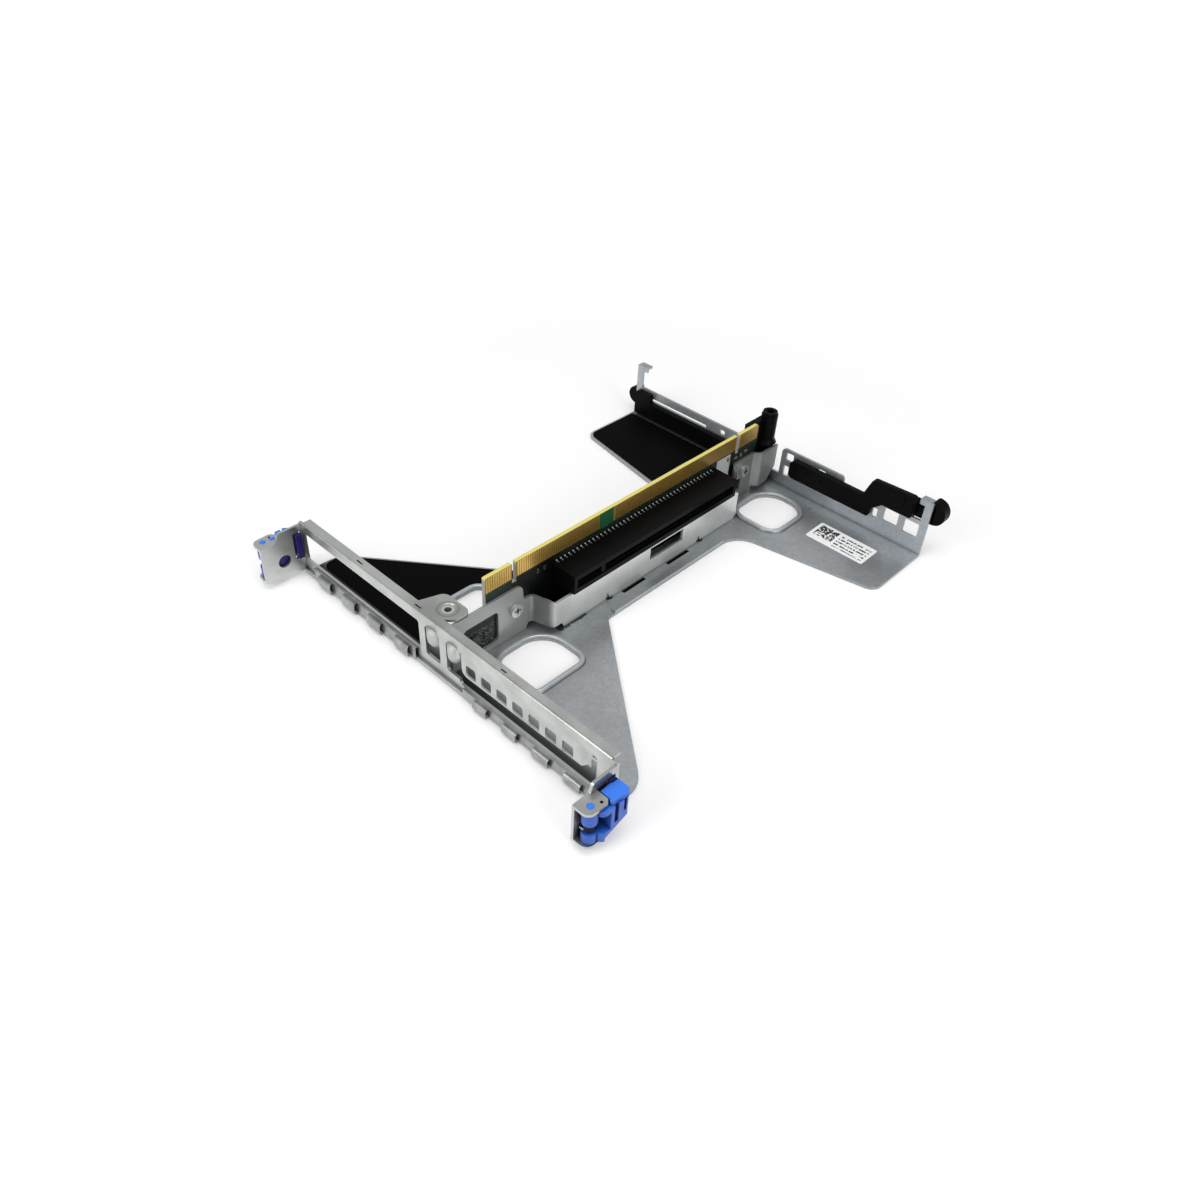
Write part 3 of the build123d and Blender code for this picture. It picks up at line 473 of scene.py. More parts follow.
BOARD_FACE_X = 0.77
TEAL_END_Y = (24.0, 33.0)
TEAL_Z = 14.0
TEAL = (0.009, 0.029, 0.020)
WINDOW_Y = (10.5, 22.5)
WINDOW_Z = (4.0, 12.0)
WINDOW_TICKS = (0.20, 0.22, 0.20)
PATCH_Y = (139.2, 147.8)
PATCH_Z = (13.0, 24.7)
PATCH_COLOUR = (0.52, 0.55, 0.53)
PATCH_STRIPES = 1.15
FLECK_Z = (24.55, 24.95)
FLECK_COLOUR = (0.16, 0.15, 0.11)
FINGER_GROUND_Z = 25.25
FINGER_GROUND = (0.30, 0.17, 0.030)
SHADED_END_Y = (30.5, 53.0)
SHADED_END_Z = 25.2
FINGER_GAP_Y = (72.3, 79.6)
FINGER_GAP_Z = 24.9
FINGER_GAP_COLOUR = (0.008, 0.085, 0.030)
GILT_EDGE_Z = (30.6, 31.2)
GILT_EDGE = (0.76, 0.67, 0.190)


def board_finish(looks):
    """Solder mask with its traces, plain printed marks and painted shade at its front end, and the
    cut edge.
    """
    f = Finish("board solder mask")
    x, y, z = f.part_mm()
    traces = f.cells(f.stretch(f.place, (1.0, 260.0, 620.0)), 1.0, "DISTANCE_TO_EDGE", "Distance")
    line = 1.0 - traces.smooth(0.03, 0.07)
    cloud = f.noise(260.0, 3.0)
    base = tuple(looks.mask)
    mask = f.blend(line * 0.5, base, scaled(base, 1.8))
    teal = (1.0 - y.smooth(*TEAL_END_Y)) * (0.4 + cloud * 0.9) * (z > TEAL_Z)
    mask = f.blend(teal.clamped(), mask, TEAL)
    window = within(y, *WINDOW_Y) * within(z, *WINDOW_Z)
    mask = f.blend(window * print_ticks(f) * 0.7, mask, WINDOW_TICKS)
    stripe = ((y * PATCH_STRIPES).wrapped(1.0) > 0.30) * 0.55 + 0.45
    patch = within(y, *PATCH_Y) * within(z, *PATCH_Z) * (x > 0.0)
    mask = f.blend(patch * stripe, mask, PATCH_COLOUR)
    fleck = f.streaks((1.0, 1500.0, 900.0)) > 0.60
    mask = f.blend(within(z, *FLECK_Z) * fleck, mask, FLECK_COLOUR)
    mask = f.blend(z > FINGER_GROUND_Z, mask, FINGER_GROUND)
    # Painted shade on the board's front end below the fingers.
    mask = f.blend(within(y, *SHADED_END_Y) * (z < SHADED_END_Z), mask, scaled(base, 0.25))
    mask = f.blend(within(y, *FINGER_GAP_Y) * (z > FINGER_GAP_Z), mask, FINGER_GAP_COLOUR)
    rim = f.blend(z.smooth(*GILT_EDGE_Z), tuple(looks.laminate), GILT_EDGE)
    face = abs(x) > BOARD_FACE_X
    f.set(Base_Color=f.blend(face, rim, mask), Roughness=0.36, Specular_IOR_Level=0.25,
          Normal=f.bump(line, 0.20, FINE_BUMP))
    return f.material


def print_ticks(f):
    """Short pale ticks, as of fine print on the board."""
    return f.streaks((1.0, 2300.0, 1300.0)).smooth(0.50, 0.62)


GILT_SHADE_Y = (34.0, 62.0)


def gilt_finish(looks):
    f = Finish("gilt fingers")
    cloud = f.noise(900.0, 3.0)
    base = tuple(looks.gilt)
    tone = f.blend(cloud, scaled(base, 0.85), scaled(base, 1.15))
    # Painted shade on the fingers further back, and in recesses.
    shade = f.part_mm()[1].smooth(*GILT_SHADE_Y)
    tone = f.blend(shade * 0.8, tone, scaled(base, 0.42))
    tone = f.blend(f.open_air(1.0).smooth(0.15, 0.60), scaled(base, 0.02), tone)
    f.set(Base_Color=tone, Metallic=0.9, Roughness=0.24 + cloud * 0.12)
    return f.material


def plastic_finish(looks):
    f = Finish("black moulding")
    grain = f.noise(4200.0)
    cloud = f.noise(160.0, 3.0)
    base = tuple(looks.black)
    f.set(Base_Color=f.blend(cloud, scaled(base, 0.8), scaled(base, 1.6)),
          Roughness=0.26 + cloud * 0.16, Specular_IOR_Level=0.045,
          Normal=f.bump(grain, 0.10, FINE_BUMP))
    return f.material


BLUE_SIDE_SHADE = (0.80, 0.42, 0.46)
BLUE_RECESS_SHADE = (0.004, 0.004, 0.060)
BLUE_INNER_SHADE = (0.016, 0.014, 0.110)
LATCH_INNER_X = (78.45, 78.8)


def blue_finish(looks):
    """Blue moulding with painted shade on its sides and in its recesses, and painted navy shade on
    its inner faces.
    """
    f = Finish("blue moulding")
    cloud = f.noise(220.0, 3.0)
    base = tuple(looks.blue)
    # A painted shade copy of the blue for the sides; the top faces keep the full blue.
    side = tuple(part * share for part, share in zip(base, BLUE_SIDE_SHADE))
    tone = f.blend(f.facing_up().smooth(0.15, 0.95), side, base)
    # Painted shade in recesses.
    tone = f.blend(f.open_air(5.0).smooth(0.30, 0.92), BLUE_RECESS_SHADE, tone)
    tone = f.blend(cloud * 0.25, tone, scaled(base, 1.2))
    # Painted shade on the faces inside the end plates.
    inner = 1.0 - abs(f.part_mm()[0]).smooth(*LATCH_INNER_X)
    tone = f.blend(inner, tone, BLUE_INNER_SHADE)
    f.set(Base_Color=tone, Roughness=0.30 + cloud * 0.10, Specular_IOR_Level=0.35,
          Normal=f.bump(f.noise(3000.0), 0.08, FINE_BUMP))
    return f.material


def film_finish(looks):
    f = Finish("insulating film")
    weave = f.noise(2600.0)
    base = tuple(looks.film)
    f.set(Base_Color=f.blend(weave, scaled(base, 0.7), scaled(base, 2.0)),
          Roughness=0.50 + weave * 0.15, Specular_IOR_Level=0.03,
          Normal=f.bump(weave, 0.25, FINE_BUMP))
    return f.material


def steel_finish(looks):
    f = Finish("screw steel")
    cloud = f.noise(700.0, 3.0)
    base = tuple(looks.steel)
    tone = f.blend(cloud, scaled(base, 0.90), scaled(base, 1.25))
    # Painted shade in recesses.
    tone = f.blend(f.open_air(1.2).smooth(0.15, 0.80), scaled(base, 0.08), tone)
    f.set(Base_Color=tone, Metallic=0.9, Roughness=0.16 + cloud * 0.12)
    return f.material


SHADED_PARTS_Y = 48.0
SHADED_PARTS = (0.012, 0.014, 0.012)
SHADED_PARTS_TICKS = (0.20, 0.21, 0.19)


def component_finish(looks):
    """Tan soldered parts; near the board's front end painted near black as shade, with fine ticks.
    """
    f = Finish("small board parts")
    cloud = f.noise(1200.0)
    base = tuple(looks.chip)
    tone = f.blend(cloud, scaled(base, 0.5), scaled(base, 1.1))
    # Painted shade on the parts near the front end, with fine print ticks.
    shaded = f.blend(print_ticks(f) * 0.6, SHADED_PARTS, SHADED_PARTS_TICKS)
    front = f.part_mm()[1] < SHADED_PARTS_Y
    f.set(Base_Color=f.blend(front, tone, shaded), Roughness=0.45)
    return f.material


CODE_ACROSS = (0.05, 0.37)
CODE_UP = (0.26, 0.90)
CODE_CELL = 1600.0
CODE_SHARE = 0.40
ROWS_ACROSS = (0.42, 0.95)
ROWS_UP = (0.12, 0.90)
ROWS = 6.0
ROW_GAP = 0.55


def label_finish(looks):
    """White stock with a square of plain cells and rows of plain dashes."""
    f = Finish("label")
    x, y, _ = f.axes(f.place)
    across = (x - LABEL_LOW.x) / (LABEL_HIGH.x - LABEL_LOW.x)
    up = (y - LABEL_LOW.y) / (LABEL_HIGH.y - LABEL_LOW.y)
    in_code = within(across, *CODE_ACROSS) * within(up, *CODE_UP)
    cells = f.cells(f.stretch(f.place, (CODE_CELL, CODE_CELL, 0.0)))
    code = f.grey(cells) > CODE_SHARE
    in_rows = within(across, *ROWS_ACROSS) * within(up, *ROWS_UP)
    rows = (up * ROWS).wrapped(1.0) > ROW_GAP
    dashes = f.streaks((1500.0, 300.0, 0.0), 1.0) > 0.46
    ink = (in_code * code + in_rows * rows * dashes).clamped()
    f.set(Base_Color=f.blend(ink, tuple(looks.paper), tuple(looks.print_ink)), Roughness=0.5)
    return f.material


FINISHES = {
    "galvanised_sheet": galvanised_finish,
    "nickel_sheet": plated_finish,
    "green_board": board_finish,
    "gold": gilt_finish,
    "black_plastic": plastic_finish,
    "tin": steel_finish,
    "screw_steel": steel_finish,
    "blue_plastic": blue_finish,
    "black_film": film_finish,
    "spring_steel": spring_finish,
    "label_paper": label_finish,
    "component_body": component_finish,
    "board_carrier": carrier_finish,
    "drawn_tongues": tongue_finish,
    "latch_coil": coil_finish,
}
ROUNDED_SLOTS = {
    "galvanised_sheet": 1.0,
    "nickel_sheet": 1.0,
    "black_plastic": 1.6,
    "blue_plastic": 2.0,
    "screw_steel": 2.0,
}


def finish_for(slot_name):
    """The material of a slot, made the first time it is asked for."""
    made = bpy.data.materials.get("slot " + slot_name)
    if made is None:
        made = FINISHES[slot_name](bpy.context.scene.riser_finishes)
        made.name = "slot " + slot_name
    return made


def add_bevel(piece, width):
    """Rounds a piece's sharp edges by a width in mm."""
    bevel = piece.modifiers.new("edge round", "BEVEL")
    bevel.width = width * MM
    bevel.segments = 2
    bevel.limit_method = "ANGLE"
    bevel.angle_limit = math.radians(40)
    return bevel


def dress(slot_names):
    """Gives the CAD nodes of these slots their finish and slightly rounded edges."""
    edge_round = bpy.context.scene.riser_fittings.edge_round / MM
    for entry in frame["record"]["subparts"]:
        node, slot_name = entry["node"], entry["material_slot"]
        if slot_name not in slot_names:
            continue
        piece = frame["nodes"][node]
        piece.data.materials.clear()
        piece.data.materials.append(finish_for(node if node in FINISHES else slot_name))
        if slot_name in ROUNDED_SLOTS:
            add_bevel(piece, edge_round * ROUNDED_SLOTS[slot_name]).harden_normals = True


AXES = {
    "x": lambda u, v, w: (w, u, v),
    "y": lambda u, v, w: (u, w, v),
    "z": lambda u, v, w: (u, v, w),
}


def rounded(corners, steps=6):
    """The points of a closed outline whose corners (u, v, radius) are rounded."""
    points = []
    for n, (u, v, radius) in enumerate(corners):
        here = Vector((u, v))
        before = (Vector(corners[n - 1][:2]) - here).normalized()
        after = (Vector(corners[(n + 1) % len(corners)][:2]) - here).normalized()
        if radius <= 0:
            points.append(here)
            continue
        half = before.angle(after) / 2
        centre = here + (before + after).normalized() * radius / math.sin(half)
        first = here + before * radius / math.tan(half) - centre
        last = here + after * radius / math.tan(half) - centre
        start = math.atan2(first.y, first.x)
        sweep = (math.atan2(last.y, last.x) - start + math.pi) % (2 * math.pi) - math.pi
        for step in range(steps + 1):
            turn = start + sweep * step / steps
            points.append(centre + radius * Vector((math.cos(turn), math.sin(turn))))
    return points


def oblong(across, up, radius=None, steps=4):
    """The outline between two values on each axis, with its corners rounded where asked."""
    u0, u1 = sorted(across)
    v0, v1 = sorted(up)
    corners = [(u0, v0), (u1, v0), (u1, v1), (u0, v1)]
    return rounded([(*c, radius) for c in corners], steps) if radius else corners


def add_prism(mesh, outline, along, low, high):
    """An outline in mm drawn out between two places on one axis."""
    place = AXES[along]
    ends = [[mesh.verts.new(at(*place(u, v, w))) for u, v in outline] for w in (low, high)]
    count = len(outline)
    for n in range(count):
        m = (n + 1) % count
        mesh.faces.new((ends[0][n], ends[0][m], ends[1][m], ends[1][n]))
    mesh.faces.new(ends[0][::-1])
    mesh.faces.new(ends[1])


def add_wire(mesh, points, radius, closed=False, sides=8):
    """A round wire through points in mm."""
    points = [at(*point) for point in points]
    count = len(points)
    rings = []
    side = Vector((0.0, 0.0, 1.0))
    for n, point in enumerate(points):
        if closed:
            ahead = points[(n + 1) % count] - points[n - 1]
        else:
            ahead = points[min(n + 1, count - 1)] - points[max(n - 1, 0)]
        ahead.normalize()
        if abs(ahead.dot(side)) > 0.95:
            side = Vector((1.0, 0.0, 0.0))
        side = (side - ahead * ahead.dot(side)).normalized()
        other = ahead.cross(side)
        ring = []
        for k in range(sides):
            turn = 2 * math.pi * k / sides
            offset = math.cos(turn) * side + math.sin(turn) * other
            ring.append(mesh.verts.new(point + offset * radius))
        rings.append(ring)
    for n in range(count if closed else count - 1):
        a, b = rings[n], rings[(n + 1) % count]
        for k in range(sides):
            m = (k + 1) % sides
            mesh.faces.new((a[k], a[m], b[m], b[k]))
    if not closed:
        mesh.faces.new(rings[0][::-1])
        mesh.faces.new(rings[-1])


def add_lathe(mesh, x, y, profile, steps=32):
    """A turned body about an upright axis, from (radius, z) pairs in mm."""
    rings = []
    for radius, z in profile:
        rings.append([mesh.verts.new(at(x + radius * math.cos(2 * math.pi * k / steps),
                                        y + radius * math.sin(2 * math.pi * k / steps), z))
                      for k in range(steps)])
    for a, b in zip(rings, rings[1:]):
        for k in range(steps):
            m = (k + 1) % steps
            mesh.faces.new((a[k], a[m], b[m], b[k]))
    mesh.faces.new(rings[0][::-1])
    mesh.faces.new(rings[-1])


def smooth(piece):
    for face in piece.data.polygons:
        face.use_smooth = True


def mirror_x(side, points):
    return [(side * x, y, z) for x, y, z in points]


def piece_from(name, mesh, slot_name, body=FRAME_BODY, look=None):
    """A new piece from a bmesh, riding on a body with its slot's finish or a look of its own."""
    bmesh.ops.recalc_face_normals(mesh, faces=mesh.faces)
    data = bpy.data.meshes.new(name)
    mesh.to_mesh(data)
    mesh.free()
    piece = bpy.data.objects.new(name, data)
    bpy.context.scene.collection.objects.link(piece)
    data.materials.append(finish_for(look or slot_name))
    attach(piece, body)
    return piece


def add_block(mesh, low, high):
    """A box between two corners, added to a bmesh."""
    low, high = Vector(low), Vector(high)
    size = Matrix.Diagonal((*(high - low), 1.0))
    bmesh.ops.create_cube(mesh, size=1.0, matrix=Matrix.Translation((low + high) / 2) @ size)


class RISER_OT_metal(bpy.types.Operator):
    """Finish the base plate, slot bracket, carrier, cover and springs"""
    bl_idname = "riser.metal"
    bl_label = "Sheet metal"

    def execute(self, context):
        dress(("galvanised_sheet", "nickel_sheet", "spring_steel", "screw_steel", "tin"))
        return {"FINISHED"}


class RISER_OT_board(bpy.types.Operator):
    """Finish the circuit board and its fingers"""
    bl_idname = "riser.board"
    bl_label = "Board"

    def execute(self, context):
        dress(("green_board", "gold", "component_body"))
        return {"FINISHED"}


class RISER_OT_mouldings(bpy.types.Operator):
    """Finish the black and blue mouldings, the films and the label"""
    bl_idname = "riser.mouldings"
    bl_label = "Mouldings, films and label"

    def execute(self, context):
        dress(("black_plastic", "blue_plastic", "black_film", "label_paper"))
        return {"FINISHED"}


FINGER_ROWS = ((19.8, 11), (33.6, 39), (80.8, 70), (153.6, 11))
FINGER_Z = (25.35, 31.35)
FINGER_FACE = 0.785
FINGER_T = 0.05
FINGER_ROUND = 0.8


class RISER_OT_fingers(bpy.types.Operator):
    """Split the card-edge rows into single gilt fingers"""
    bl_idname = "riser.fingers"
    bl_label = "Card-edge fingers"

    def execute(self, context):
        half = context.scene.riser_fittings.finger_width / 2 / MM
        low, high = FINGER_Z
        mesh = bmesh.new()
        for start, count in FINGER_ROWS:
            for n in range(count):
                middle = start + n
                outline = rounded([
                    (middle - half, low, half * FINGER_ROUND),
                    (middle + half, low, half * FINGER_ROUND),
                    (middle + half, high, 0),
                    (middle - half, high, 0),
                ], 3)
                for face in (-FINGER_FACE - FINGER_T, FINGER_FACE):
                    add_prism(mesh, outline, "x", face, face + FINGER_T)
        fingers = piece_from("card_edge_fingers", mesh, "gold")
        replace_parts(fingers, "edge_fingers")
        return {"FINISHED"}


TAIL_ROOT = 0.79
TAIL_PITCH = 2.0
TAIL_HALF = 0.28
TAIL_SIDE = ((TAIL_ROOT, 0.0), (2.3, 0.0), (2.3, 0.12), (1.3, 0.22), (1.0, 0.5), (TAIL_ROOT, 0.5))


class RISER_OT_tails(bpy.types.Operator):
    """Split the rows of solder tails into single bent tails"""
    bl_idname = "riser.tails"
    bl_label = "Solder tails"

    def execute(self, context):
        for side, name, low, high in ((1, "right", RIGHT_LOW, RIGHT_HIGH),
                                      (-1, "left", LEFT_LOW, LEFT_HIGH)):
            edge = high.z / MM
            start, end = low.y / MM + MIDDLE_Y, high.y / MM + MIDDLE_Y
            mesh = bmesh.new()
            profile = [(side * x, edge + up) for x, up in TAIL_SIDE]
            for n in range(int((end - start) // TAIL_PITCH) - 1):
                y = start + TAIL_PITCH * (n + 1)
                add_prism(mesh, profile, "y", y - TAIL_HALF, y + TAIL_HALF)
            tails = piece_from(name + "_connector_tails", mesh, "tin")
            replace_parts(tails, name + "_connector_pins")
        return {"FINISHED"}


HINGE = (80.2, -13.3)
COIL_R = 1.45
COIL_Z = (8.45, 11.35)
COIL_TURNS = 4
COIL_STEPS = 20 * COIL_TURNS
LEG_END_X = 77.7
CAP_Z = (16.6, 18.2)
RIGHT_CAP = ((78.35, -7.7, 0.3), (82.1, -7.7, 0), (83.3, -8.8, 0.3), (84.4, -2.2, 0.8),
             (83.0, -0.9, 0.6), (78.35, -0.9, 0.3))
LEFT_CAP = ((78.9, -10.9, 0.3), (80.6, -10.9, 0.3), (80.6, -8.0, 0.3), (78.9, -8.0, 0.3))
WEB_X = (77.95, 78.5)
WEB_Y = (-12.3, -4.6)
WEB_Z = (4.4, 15.3)
PAD_BEVEL = 0.35


class RISER_OT_latches(bpy.types.Operator):
    """Wind the latch springs and raise the latches' top pads"""
    bl_idname = "riser.latches"
    bl_label = "Latch springs and pads"

    def execute(self, context):
        radius = context.scene.riser_fittings.wire_radius
        low, high = COIL_Z
        x0, y0 = HINGE
        for side, name, outline in ((1, "right", RIGHT_CAP), (-1, "left", LEFT_CAP)):
            wire = [(LEG_END_X, y0 - COIL_R, low)]
            for n in range(COIL_STEPS + 1):
                turn = -math.pi / 2 + 2 * math.pi * COIL_TURNS * n / COIL_STEPS
                wire.append((x0 + COIL_R * math.cos(turn), y0 + COIL_R * math.sin(turn),
                             low + (high - low) * n / COIL_STEPS))
            mesh = bmesh.new()
            add_wire(mesh, mirror_x(side, wire), radius)
            spring = piece_from(name + "_latch_coil", mesh, "spring_steel", look="latch_coil")
            smooth(spring)
            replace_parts(spring, name + "_latch_spring")
            mesh = bmesh.new()
            pad = [(side * u, v) for u, v in rounded(outline, 3)]
            add_prism(mesh, pad, "z", *CAP_Z)
            add_prism(mesh, oblong([side * x for x in WEB_X], WEB_Y), "z", *WEB_Z)
            cap = piece_from(name + "_latch_pad", mesh, "blue_plastic", name + "_latch")
            add_bevel(cap, PAD_BEVEL)
        return {"FINISHED"}


NEAR_HOLE = ((6.7, 16.0, 7.0), (27.0, 16.0, 3.5), (27.0, 39.7, 4.0), (6.7, 39.7, 10.0))
FAR_HOLE = ((6.8, 145.6, 7.0), (27.6, 145.6, 5.5), (27.6, 168.7, 8.5), (6.8, 168.7, 9.5))
CREST_OUT = 0.7
CREST_Z = 1.55
CREST_STEPS = 12


class RISER_OT_rims(bpy.types.Operator):
    """Roll a round crest onto each thumb hole's rim"""
    bl_idname = "riser.rims"
    bl_label = "Thumb hole rims"

    def execute(self, context):
        radius = context.scene.riser_fittings.bead_radius
        mesh = bmesh.new()
        for corners in (NEAR_HOLE, FAR_HOLE):
            middle_x = sum(c[0] for c in corners) / 4
            middle_y = sum(c[1] for c in corners) / 4
            grown = []
            for x, y, r in corners:
                out_x = math.copysign(CREST_OUT, x - middle_x)
                out_y = math.copysign(CREST_OUT, y - middle_y)
                grown.append((x + out_x, y + out_y, r + CREST_OUT))
            crest = [(u, v, CREST_Z) for u, v in rounded(grown, CREST_STEPS)]
            for side in (-1, 1):
                add_wire(mesh, mirror_x(side, crest), radius, True)
        smooth(piece_from("thumb_hole_crests", mesh, "galvanised_sheet"))
        return {"FINISHED"}


LIPS = (
    ("right_contact_strip", 12.0, 70.0, 4.3,
     ((18.2, 24.4), (31.9, 38.2), (45.4, 52.3), (59.0, 65.8))),
    ("left_contact_strip", -70.0, -12.0, 5.6,
     ((-65.9, -58.8), (-51.7, -44.3), (-37.2, -29.8), (-22.1, -14.7))),
)
LIP_FRONT = -0.9
LIP_LOW = 1.0
LEAF = 0.22
BULGE = 1.45
BULGE_SHAPE = 0.55
BULGE_STEPS = 10
BULGE_LOW = 0.55
BULGE_TOP_GAP = 0.15
BULGE_END_LIFT = 0.5


class RISER_OT_springs(bpy.types.Operator):
    """Shape the grounding strips on the lip: clipped band and bulged pads"""
    bl_idname = "riser.springs"
    bl_label = "Grounding strips"

    def execute(self, context):
        for name, low, high, top, pads in LIPS:
            mesh = bmesh.new()
            front = LIP_FRONT - LEAF
            clip = [(LIP_FRONT, LIP_LOW), (LIP_FRONT, top), (0.0, top), (0.0, top + LEAF),
                    (front, top + LEAF), (front, LIP_LOW)]
            add_prism(mesh, clip, "x", low, high)
            outer = []
            for n in range(BULGE_STEPS + 1):
                turn = math.pi * n / BULGE_STEPS
                z = BULGE_LOW + (top - BULGE_TOP_GAP - BULGE_LOW) * (1 + math.cos(turn)) / 2
                out = BULGE * max(0.0, math.sin(turn)) ** BULGE_SHAPE
                if n in (0, BULGE_STEPS):
                    out = BULGE_END_LIFT if n else 0.0
                outer.append((front - out, z))
            inner = [(y + LEAF, z) for y, z in outer]
            for x0, x1 in pads:
                add_prism(mesh, outer + inner[::-1], "x", x0, x1)
            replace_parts(piece_from(name + "_leaves", mesh, "spring_steel"), name)
        return {"FINISHED"}


COVER = ((10.2, 8.6, 2.5), (63.4, 9.4, 0), (64.8, 10.4, 0), (66.6, 10.4, 0), (66.6, 14.4, 0.5),
         (71.0, 14.4, 0.5), (71.0, 10.4, 0), (72.0, 10.4, 0), (72.0, 20.0, 0), (10.2, 20.0, 1.0))
COVER_Y = 1.15
COVER_T = 0.65
COVER_RAMP = (63.2, 65.0)
COVER_SET_BACK = 0.9
COVER_SLOT = ((67.0, 15.4, 0), (71.3, 15.4, 0), (71.3, 16.6, 0), (67.0, 16.6, 0))
AIR_HOLE_X = 14.6
AIR_HOLE_Z = 11.9
AIR_HOLE_PITCH = 7.2
AIR_HOLE_HALF = 2.3
AIR_HOLE_ROUND = 0.8
AIR_HOLES = 7
COVER_BEVEL = 0.12


class RISER_OT_cover(bpy.types.Operator):
    """Press the slot cover with its stepped end and rounded air holes"""
    bl_idname = "riser.cover"
    bl_label = "Slot cover"

    def execute(self, context):
        loops = [rounded(COVER), rounded(COVER_SLOT)]
        up = (AIR_HOLE_Z - AIR_HOLE_HALF, AIR_HOLE_Z + AIR_HOLE_HALF)
        for n in range(AIR_HOLES):
            middle = AIR_HOLE_X + AIR_HOLE_PITCH * n
            across = (middle - AIR_HOLE_HALF, middle + AIR_HOLE_HALF)
            loops.append(oblong(across, up, AIR_HOLE_ROUND))
        mesh = bmesh.new()
        edges = []
        for loop in loops:
            verts = [mesh.verts.new(at(u, COVER_Y, v)) for u, v in loop]
            edges += [mesh.edges.new((verts[n - 1], verts[n])) for n in range(len(verts))]
        bmesh.ops.triangle_fill(mesh, use_beauty=True, edges=edges)
        for x in COVER_RAMP:
            parts = mesh.verts[:] + mesh.edges[:] + mesh.faces[:]
            bmesh.ops.bisect_plane(mesh, geom=parts, plane_co=at(x, 0, 0), plane_no=(1, 0, 0))
        low, high = COVER_RAMP
        for vert in mesh.verts:
            way = min(1.0, max(0.0, (vert.co.x / MM - low) / (high - low)))
            vert.co.y += way * COVER_SET_BACK * MM
        cover = piece_from("pressed_slot_cover", mesh, "nickel_sheet")
        solid = cover.modifiers.new("sheet", "SOLIDIFY")
        solid.thickness = COVER_T * MM
        solid.offset = 1.0
        add_bevel(cover, COVER_BEVEL)
        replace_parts(cover, "slot_cover")
        return {"FINISHED"}


HOODS = ((-3.6, 3.55), (6.5, 3.05))
HOOD_FRONT = -1.25
HOOD_Z = (11.0, 19.0)
HOOD_NECK = 4.0
HOOD_SHAPE = 0.75
HOOD_STEPS = 12
HOOD_TIP_R = 0.05


class RISER_OT_domes(bpy.types.Operator):
    """Round the drawn tongues over the two middle slots"""
    bl_idname = "riser.domes"
    bl_label = "Drawn tongues"

    def execute(self, context):
        low, high = HOOD_Z
        mesh = bmesh.new()
        for x, radius in HOODS:
            profile = []
            for n in range(HOOD_STEPS + 1):
                turn = math.pi / 2 * n / HOOD_STEPS
                profile.append((max(HOOD_TIP_R, radius * math.sin(turn) ** HOOD_SHAPE),
                                low + (high - HOOD_NECK - low) * (1 - math.cos(turn))))
            profile.append((radius, high))
            add_lathe(mesh, x, HOOD_FRONT + radius, profile)
        smooth(piece_from("drawn_tongues", mesh, "nickel_sheet", look="drawn_tongues"))
        return {"FINISHED"}


HOLDER_FRONT = 174.6
HOLDER_BACK = 177.0
HOLDER_BAR = ((12.5, 9.5, 0.3), (14.0, 8.0, 0.3), (51.0, 8.0, 0.8), (52.3, 12.6, 1.5),
              (56.0, 15.8, 0.5), (68.6, 15.8, 1.0), (68.9, 25.4, 1.5), (50.0, 24.6, 1.5),
              (46.9, 16.3, 1.0), (14.0, 16.3, 0.3), (12.5, 14.8, 0.3))
HOLDER_RIBS = (
    ((14.6, 15.5), (46.2, 15.5), (46.6, 16.2), (14.6, 16.2)),
    ((50.8, 23.7), (64.0, 24.3), (64.0, 24.9), (50.6, 24.4)),
    ((64.0, 18.6), (64.5, 18.6), (64.5, 23.4), (64.0, 23.4)),
    ((67.9, 17.2), (68.4, 17.2), (68.4, 22.0), (67.9, 22.0)),
    ((20.4, 13.1), (22.2, 13.1), (22.2, 13.7), (20.4, 13.7)),
    ((27.0, 12.3), (29.0, 12.3), (29.0, 12.9), (27.0, 12.9)),
)
RIB_T = 0.4
ARM_BLOCKS = ((56.0, 68.6, HOLDER_BACK), (56.0, 76.1, 178.0))
ARM_Z = (15.8, 23.0)
ARM_BACK = 180.0
KNOB = ((74.0, 15.2, 0.8), (80.2, 15.2, 4.6), (80.2, 25.2, 5.0), (74.0, 25.2, 1.2))
KNOB_Y = (178.0, 182.4)
HOLDER_BEVEL = 0.3


class RISER_OT_holder(bpy.types.Operator):
    """Mould the right card holder with its ribs and half-round knob"""
    bl_idname = "riser.holder"
    bl_label = "Right card holder"

    def execute(self, context):
        mesh = bmesh.new()
        add_prism(mesh, rounded(HOLDER_BAR, 4), "y", HOLDER_FRONT, HOLDER_BACK)
        for rib in HOLDER_RIBS:
            add_prism(mesh, rib, "y", HOLDER_FRONT - RIB_T, HOLDER_FRONT)
        for x0, x1, y0 in ARM_BLOCKS:
            add_prism(mesh, oblong((x0, x1), ARM_Z), "y", y0, ARM_BACK)
        add_prism(mesh, rounded(KNOB, 10), "y", *KNOB_Y)
        holder = piece_from("moulded_right_holder", mesh, "black_plastic")
        add_bevel(holder, HOLDER_BEVEL)
        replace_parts(holder, "right_card_holder")
        return {"FINISHED"}


FOOT_SLOTS = (((10.62, 12.18), (75.22, 87.28)), ((10.62, 12.18), (99.92, 112.28)))
SLOT_SHADE_Z = (0.1, 0.4)
SLOT_SHADE_ROUND = 0.3


